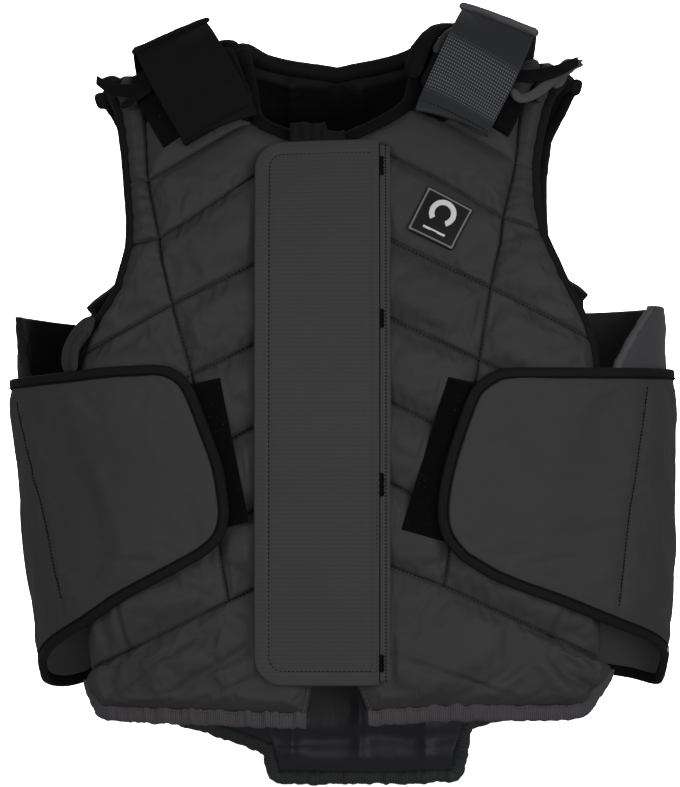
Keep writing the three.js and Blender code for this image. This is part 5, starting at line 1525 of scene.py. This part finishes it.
def side_tab(side):
    """A tab at the foot of the armhole, and the taped edge along its front."""
    tab, letter = SIDE_TABS[side], side[0]

    def height(u, v):
        return mixed(tab["bottom"], mixed(tab["top"], tab["rear"], eased(0.3, 1, u)), v) * DROP

    def front(v):
        return mixed(*tab["front"], v ** tab["bend"]) * HALF_GIRTH

    def on_tab(g, z, depth):
        return around(side, g, z, depth + wing_depth(side, g, z) + TAB_CLEARANCE)

    u, v = np.meshgrid(np.linspace(0, 1, 90), np.linspace(0, 1, 44))
    z = height(u, v)
    g = mixed(front(v) + TAB_BINDING - 1, sewn_girth(side, z), u)
    edge = np.minimum(1 - v, v) * 55
    crumple = 0.7 * lumps(g, z, 16, 211) + 0.45 * lumps(g, z, 7, 212)
    rounded = TAB_THICKNESS / 2 * rounded_edge(edge, 1.6)
    middle = TAB_THICKNESS / 2 - crumple
    outer, inner = on_tab(g, z, middle - rounded), on_tab(g, z, middle + rounded)
    cloth = panel(f"side_tab_cloth_{side}", outer, inner, (g, z), [TAB_CLOTH[side]])
    fitted(cloth, "shell", f"side_tab_{letter}")

    v = np.linspace(0, 1, 60)
    turn_angle, a, b = section(16, 0.6)
    g = front(v)[:, None] + TAB_BINDING * (0.5 + 0.5 * a[None])
    z = height(np.zeros_like(g), v[:, None] + 0 * g)
    depth = TAB_THICKNESS / 2 - 1.0 * lumps(z, g, 5, 217) + (TAB_THICKNESS / 2 + 0.7) * b[None]
    tape = rolled(f"side_tab_tape_{side}", on_tab(g, z, depth), v * 60, turn_angle * 4, TAB_EDGE[side])
    fitted(tape, "hem", f"side_tab_binding_{letter}")


# Shoulders

def strap_line(side, s):
    """x and w of a strap's middle: s runs from -1 at its front end over the top to 1."""
    line = STRAPS[side]["line"]
    x = SIDES[side] * through([-1, 0, 1], line, s) * HALF_WIDTH
    return x, SHOULDER_TOP + s * np.where(s < 0, STRAP_RUN_FRONT, STRAP_RUN_BACK)


def on_strap(side, reach, s, depth):
    """A point beside the strap's middle by reach, sunk by depth."""
    (x0, w0), (x1, w1) = strap_line(side, s - 0.01), strap_line(side, s + 0.01)
    size = np.hypot(x1 - x0, w1 - w0)
    x, w = strap_line(side, s)
    return shell(x + reach * (w1 - w0) / size, w - reach * (x1 - x0) / size, depth)


def strap_height(side, s):
    """How far the strap stands clear: on its patch in front, on the pad behind, arched between."""
    on_patch = PATCH_LIFT + SHOULDER_PATCH_THICKNESS + GAP
    return mixed(
        on_patch, PATCH_LIFT, eased(-0.2, 0.6, s),
    ) + STRAPS[side]["arch"] * np.cos(s * np.pi / 2) ** 2


def strap(side):
    """A webbing strap over the shoulder: flat, with rounded selvedges, folded under at its front end,
    with a row of stitches across it there."""
    end = np.linspace(0.97, 1, 6)[1:]
    s = np.concatenate([-end[::-1], np.linspace(-0.97, 0.97, 150), end])
    share = np.concatenate([[-1, -0.985, -0.96], np.linspace(-0.93, 0.93, 30), [0.96, 0.985, 1]])
    uu, ss = np.meshgrid(share, s)
    reach = uu * STRAP_WIDTH / 2
    side_round = rounded_edge(1 - np.abs(uu), 1 / 20, 0.03)
    end_round = rounded_edge((1 - np.abs(ss)) * 100, 1.4, 0.03)
    folded = 1 + 0.7 * eased(32, 29, (ss + 1) * STRAP_RUN_FRONT)
    half = STRAP_THICKNESS / 2 * side_round * end_round
    middle = strap_height(side, ss) + STRAP_THICKNESS / 2 + 0.25 * lumps(reach, ss * 100, 18, 223)
    outer = on_strap(side, reach, ss, -(middle + half * folded))
    inner = on_strap(side, reach, ss, -(middle - half))
    web = panel(f"strap_web_{side}", outer, inner, (reach, ss * 100), [WEBBING[side]], flat_walls=False)
    fitted(web, "webbing", f"strap_{side[0]}")
    reach = np.linspace(-STRAP_WIDTH / 2 + 2, STRAP_WIDTH / 2 - 2, 40)
    at = np.full(40, 4 / STRAP_RUN_FRONT - 1)
    height = -(strap_height(side, at) + STRAP_THICKNESS * 1.38)
    line = on_strap(side, reach, at, height)
    up = line - on_strap(side, reach, at, height + 1)
    stitched(f"strap_end_stitches_{side}", line, up, STRAP_STITCH, THREAD, "webbing")


def strap_roll(side):
    """The rolled fold across the top of a strap: a bar round a bend, thicker in the middle of its
    length than at its ends, with the cloth's own creases."""
    across = np.linspace(-1, 1, 70)
    turn_angle, cosine, sine = section(18)
    ridge = np.full(70, -0.11)
    centre = on_strap(
        side, across * (STRAP_WIDTH / 2 + 2.2), ridge, -(strap_height(side, ridge) + STRAP_THICKNESS + 0.8),
    )
    up = np.array([0.0, 0, 1]) + 0 * centre
    axis = unit(np.gradient(centre, axis=0))
    side_way = unit(np.cross(axis, up))
    upright = np.cross(side_way, axis)
    size = ROLL_SIZE[side] * (1 - 0.12 * across**2) * rounded_edge(1 - np.abs(across), 1 / 14, 0.12)
    crease = 0.25 * lumps(across[:, None] * 26, turn_angle[None] * 3, 6, 241)
    reach = (size[:, None] + crease)[..., None]
    wide, high = side_way[:, None] * cosine[:, None] * 1.35, upright[:, None] * sine[:, None]
    rings = centre[:, None] + reach * (wide + high)
    # The right roll's light cloth is a painted highlight along the strap's top fold.
    roll = rolled(f"strap_roll_{side}", rings, across * 26, turn_angle * 3 + 100, ROLL_CLOTH_AND_HIGHLIGHT[side])
    fitted(roll, "webbing")


def photo_spot(px, py):
    """x and w of the front face's point that the photo shows at each pixel, or the nearest below it."""
    px, py = np.asarray(px, float), np.asarray(py, float)
    y = np.full(px.shape, -60.0)
    for _ in range(4):
        scale = pixel_at(y)
        x, z = CAMERA_X + (px - MIDDLE_COLUMN) * scale, CAMERA_Z + (MIDDLE_ROW - py) * scale
        w = run_at(x, z, False)
        y = face(x, w)[..., 1]
    return x, w, np.maximum(z - face(x, w)[..., 2], 0)


def cloth_roll(name, spots, thick, flat, lift, material, slot, seed):
    """A fold of cloth that stands up as a roll on the front face, along the photo's pixels: oval,
    creased, and drawn in at both ends. flat is its height for its width."""
    spots = np.array(spots, float)
    run = np.arange(len(spots))
    s = np.linspace(0, len(spots) - 1, 26 * (len(spots) - 1))
    px, py = through(run, spots[:, 0], s), through(run, spots[:, 1], s)
    x, w, over = photo_spot(px, py)
    middle = shell(x, w, np.full(x.shape, -lift - thick * flat * 0.6)) + np.array([0, 0, 1.0]) * over[:, None]
    normal = outward(x, w)
    ahead = unit(np.gradient(middle, axis=0))
    aside = unit(np.cross(ahead, normal))
    rise = np.cross(aside, ahead)
    length = run_length(middle)
    turn_angle, cosine, sine = section(24)
    ends = rounded_edge(np.minimum(length, length[-1] - length), 1.6 * thick, 0.1)
    size = thick * ends * (1 + 0.1 * lumps(length, 0, 14, seed))
    crease = 0.09 * thick * lumps(length[:, None] * 0.25, turn_angle[None] * 3, 1.6, seed + 1) * ends[:, None]
    reach = (size[:, None] + crease)[..., None]
    wide, high = aside[:, None] * cosine[:, None], rise[:, None] * sine[:, None] * flat
    rings = middle[:, None] + reach * (wide + high)
    fitted(rolled(name, rings, length, turn_angle * thick, material), slot)


def zip_guard():
    """The pleated cloth that covers the zip's top end, standing above the storm flap at the neck."""
    a, b = np.meshgrid(np.linspace(0, 1, 120), np.linspace(0, 1, 30))
    top = 124 + 1.6 * lumps(a * 46, 0, 6, 351) + 9 * eased(0.62, 0.7, a) - 2 * eased(0.85, 1, a)
    x, w, _ = photo_spot(mixed(290, 345, a), mixed(143, top, b))
    pleats = 1.3 * np.abs(np.sin(a * 46 * np.pi / 9 + 0.6 * lumps(a * 46, b * 10, 8, 353))) ** 0.7
    rounded = rounded_edge(np.minimum(np.minimum(a, 1 - a) * 38, (1 - b) * 12), 1.4)
    lift = 1.2 + (0.8 + pleats) * rounded
    outer, inner = shell(x, w, -lift), shell(x, w, np.full(x.shape, -0.4))
    fitted(panel("zip_guard", outer, inner, (x, w), [BINDING]), "flap")


def shoulder_patch(side):
    """The loop patch under a strap's front end."""
    sign = SIDES[side]
    first, last = -1 + RIM_REACH / STRAP_RUN_FRONT, -(RIM_REACH + SHOULDER_GAP) / STRAP_RUN_FRONT
    u, s = np.meshgrid(np.linspace(-1, 1, 50), np.linspace(first, last, 70))
    reach = u * SHOULDER_PATCH_WIDTH / 2 + sign * (SHOULDER_PATCH_WIDTH - STRAP_WIDTH) * 0.4
    steps = np.minimum((1 - np.abs(u)) * 33, np.minimum(s - first, last - s) * STRAP_RUN_FRONT)
    pile = SHOULDER_PATCH_THICKNESS * rounded_edge(steps, 1.2, 0.02)
    pile = pile + 0.25 * lumps(reach, s * 100, 2.4, 227) * eased(0, 2, steps)
    outer = on_strap(side, reach, s, -(PATCH_LIFT + pile))
    inner = on_strap(side, reach, s, -PATCH_LIFT + 0 * s)
    patch = panel(f"shoulder_pile_{side}", outer, inner, (reach, s * 100), [LOOP])
    fitted(patch, "loop", f"shoulder_patch_{side[0]}")


def shoulder_band(side):
    """A narrow elastic band from under the strap towards the shoulder's end."""
    xs, aheads, lifts = SHOULDER_BANDS[side]
    u, s = np.meshgrid(np.linspace(-1, 1, 15), np.linspace(0, 3, 90))
    row = np.arange(4)
    w = SHOULDER_TOP - through(row, aheads, s) * DROP + u * BAND_WIDTH / 2
    lift = through(row, lifts, s) * BAND_WIDTH + BAND_LIFT + BAND_THICKNESS / 2 + 0.4 * lumps(
        s * 20, u * 3, 9, 229,
    )
    x = SIDES[side] * through(row, xs, s) * HALF_WIDTH
    half = BAND_THICKNESS / 2 * rounded_edge(1 - np.abs(u), 1 / 6)
    outer, inner = shell(x, w, -(lift + half)), shell(x, w, -(lift - half))
    band = panel(f"elastic_{side}", outer, inner, (s * 25, u * 6), [ELASTIC], flat_walls=False)
    fitted(band, "webbing", f"shoulder_band_{side[0]}")


# Badge

def badge():
    """Rubber badge: a rounded square with a raised rim, a plain horseshoe and a bar in relief."""
    count = 121
    a, b = np.meshgrid(np.linspace(-1, 1, count), np.linspace(-1, 1, count))
    half = BADGE_SIDE / 2
    squeeze = 1 - 0.035 * (a * b) ** 8
    p, q = a * half * squeeze, b * half * squeeze
    edge = half - np.maximum(np.abs(p), np.abs(q))
    raised = eased(0.9, 1.3, edge) * eased(2.7, 2.3, edge)
    arc = np.hypot(p, (q - 4.0) * 0.92)
    angle = np.arctan2(p, -(q - 4.0))
    shoe = eased(2.1, 1.7, np.abs(arc - 7.6)) * eased(0.62, 0.7, np.abs(angle))
    bar_mark = eased(0.9, 0.6, np.abs(q + 10.5)) * eased(8.6, 8.2, np.abs(p))
    mark = np.maximum(shoe, bar_mark)
    top = BADGE_THICKNESS * rounded_edge(edge, 0.8) - 0.5 * eased(0.6, 1.0, edge)
    relief = top + 0.5 * raised + 0.45 * mark
    turn = math.radians(-BADGE_TURN)
    x = BADGE_X + p * math.cos(turn) - q * math.sin(turn)
    w = float(run_at(BADGE_X, -0.2 * DROP, False)) + p * math.sin(turn) + q * math.cos(turn)
    points, quads, kinds = closed(shell(x, w, -(PATCH_LIFT + relief)), shell(x, w, -PATCH_LIFT + 0 * x))
    front = cells(np.arange(count * count).reshape(count, count))
    tone = np.zeros(len(quads), int)
    tone[:len(front)] = np.where(
        raised.ravel()[front].mean(axis=1) > 0.5, 1, np.where(mark.ravel()[front].mean(axis=1) > 0.5, 2, 0),
    )
    uv = np.stack([x, w], axis=-1).reshape(-1, 2)
    plate = made(
        "badge_plate", points, quads, [RUBBER, RUBBER_EDGE, RUBBER_LIGHT], tone, np.concatenate([uv, uv]),
        kinds == 2,
    )
    fitted(plate, "badge", "badge")


for side_name in SIDES:
    front_trim(side_name, front_pad(side_name))
back_trim(back_pad())
zip_teeth()
zip_slider()
storm_flap()
seam_strip()
for side_name in SIDES:
    wing(side_name)
    loop_patch(side_name)
    side_tab(side_name)
    strap(side_name)
    strap_roll(side_name)
    shoulder_patch(side_name)
    shoulder_band(side_name)
badge()
zip_guard()

# Rolls of folded shell cloth take its darker copy: painted shade in the folds.
# name: pixels along it, half its width in mm, height for width, lift in mm, cloth, slot
ROLLS = {
    "neck_fold_right_1": (
        ((412, 80), (420, 52), (438, 33), (466, 32)), 7.0, 0.5, 0.5, SHOULDER_CLOTH, "binding",
    ),
    "neck_fold_right_2": (
        ((424, 90), (436, 68), (452, 46), (464, 38)), 5.2, 0.6, 1.5, SHOULDER_CLOTH, "binding",
    ),
    "neck_fold_right_3": (((434, 58), (446, 42), (462, 32)), 3.4, 0.5, 5.0, FOLD_GREY_SHADED, "shell"),
    "shoulder_fold_right_1": (((516, 104), (522, 84), (534, 64)), 7.2, 0.5, 0.5, FOLD_GREY_SHADED, "shell"),
    "shoulder_fold_right_2": (((537, 104), (542, 86), (548, 68)), 5.0, 0.6, 1.0, FOLD_GREY_SHADED, "shell"),
    "elastic_twist_right": (
        ((509, 94), (518, 103), (532, 99), (546, 89), (557, 80)), 3.4, 0.5, 5.5, ELASTIC_LIGHT, "webbing",
    ),
    "elastic_lobe_right": (
        ((551, 90), (560, 76), (572, 68), (581, 66)), 6.4, 0.3, 3.0, ELASTIC_LIGHT, "webbing",
    ),
    "neck_fold_left_1": (((212, 54), (224, 46), (238, 50)), 6.0, 0.4, 0.4, SHOULDER_CLOTH, "binding"),
    "neck_fold_left_2": (((227, 50), (235, 76), (248, 108)), 5.4, 0.5, 0.5, SHOULDER_CLOTH, "binding"),
    "shoulder_fold_left_1": (((129, 80), (127, 92), (136, 106)), 4.8, 0.5, 0.8, FOLD_GREY_SHADED, "shell"),
    "cross_band_left": (((124, 112), (139, 102), (156, 92)), 3.4, 0.45, 5.0, SHOULDER_CLOTH, "webbing"),
    "shoulder_tip_left": (((100, 86), (109, 83), (122, 88)), 6.0, 0.4, 0.5, SHOULDER_CLOTH, "binding"),
    "armhole_lobe_left_1": (((94, 318), (82, 334), (72, 352), (70, 374)), 6.8, 0.4, 0.5, FOLD_GREY_SHADED, "shell"),
    "armhole_lobe_left_2": (((90, 332), (80, 348), (78, 372)), 3.0, 0.5, 4.5, FOLD_GREY_SHADED, "shell"),
}
for number, (roll_name, roll) in enumerate(ROLLS.items()):
    cloth_roll(roll_name, *roll, 301 + 7 * number)


# Floor, light and camera

def sweep():
    """Floor and backdrop: one profile, a floor that turns up through a quarter circle into a wall,
    carried straight across."""
    turn = np.linspace(0, np.pi / 2, 24)
    near, rear, radius, floor_z, top, side = -7.0, 5.2, 1.2, -0.62, 6.5, 10.0
    y = np.concatenate([[near], rear + radius * np.sin(turn), [rear + radius]])
    z = np.concatenate([[floor_z], floor_z + radius * (1 - np.cos(turn)), [top]])
    points = np.stack(np.broadcast_arrays(np.array([-side, side]), y[:, None], z[:, None]), axis=-1)
    mesh = bpy.data.meshes.new("pale_sweep")
    mesh.from_pydata(points.reshape(-1, 3).tolist(), [], cells(np.arange(len(y) * 2).reshape(-1, 2)).tolist())
    mesh.polygons.foreach_set("use_smooth", np.ones(len(mesh.polygons), bool))
    floor = bpy.data.objects.new("pale_sweep", mesh)
    bpy.context.scene.collection.objects.link(floor)
    paint = bpy.data.materials.new("pale_paper")
    paint.use_nodes = True
    paint.node_tree.nodes["Principled BSDF"].inputs["Base Color"].default_value = (0.9, 0.9, 0.9, 1)
    paint.node_tree.nodes["Principled BSDF"].inputs["Roughness"].default_value = 0.95
    mesh.materials.append(paint)
    floor.visible_diffuse = floor.visible_glossy = False


def panel_light(name, place, target, size, power):
    """A soft square lamp at a place, turned towards a target."""
    lamp = bpy.data.lights.new(name, "AREA")
    lamp.shape = "RECTANGLE"
    lamp.size, lamp.size_y = size
    lamp.energy = power
    holder = bpy.data.objects.new(name, lamp)
    holder.location = place
    back = np.array(place) - np.array(target)
    holder.rotation_euler = (math.acos(back[2] / np.linalg.norm(back)), 0, math.atan2(back[0], -back[1]))
    bpy.context.scene.collection.objects.link(holder)


sweep()
panel_light("soft_left", (-1.9, -2.6, 0.35), (0, 0, -0.3), (1.7, 1.1), 18)
panel_light("soft_right", (2.1, -2.4, 0.25), (0, 0, -0.28), (1.4, 1.0), 22)
panel_light("soft_front", (0.7, -2.8, -0.42), (0, 0, -0.38), (1.2, 0.3), 12)
panel_light("backdrop_wash", (0, 3.6, 3.2), (0, 6.2, 0.1), (6.0, 1.8), 900)
world = bpy.context.scene.world or bpy.data.worlds.new("studio")
bpy.context.scene.world = world
world.use_nodes = True
world.node_tree.nodes["Background"].inputs[0].default_value = (0.93, 0.94, 0.96, 1)
world.node_tree.nodes["Background"].inputs[1].default_value = 0.235

lens = bpy.data.cameras.new("photo_camera")
lens.lens = 188.3
lens.sensor_width = 36
lens.clip_end = 30
camera = bpy.data.objects.new("photo_camera", lens)
camera.location = (CAMERA_X * MM, CAMERA_Y * MM, CAMERA_Z * MM)
camera.rotation_euler = (math.pi / 2, 0, 0)
bpy.context.scene.collection.objects.link(camera)
bpy.context.scene.camera = camera
bpy.context.scene.view_settings.view_transform = "Standard"
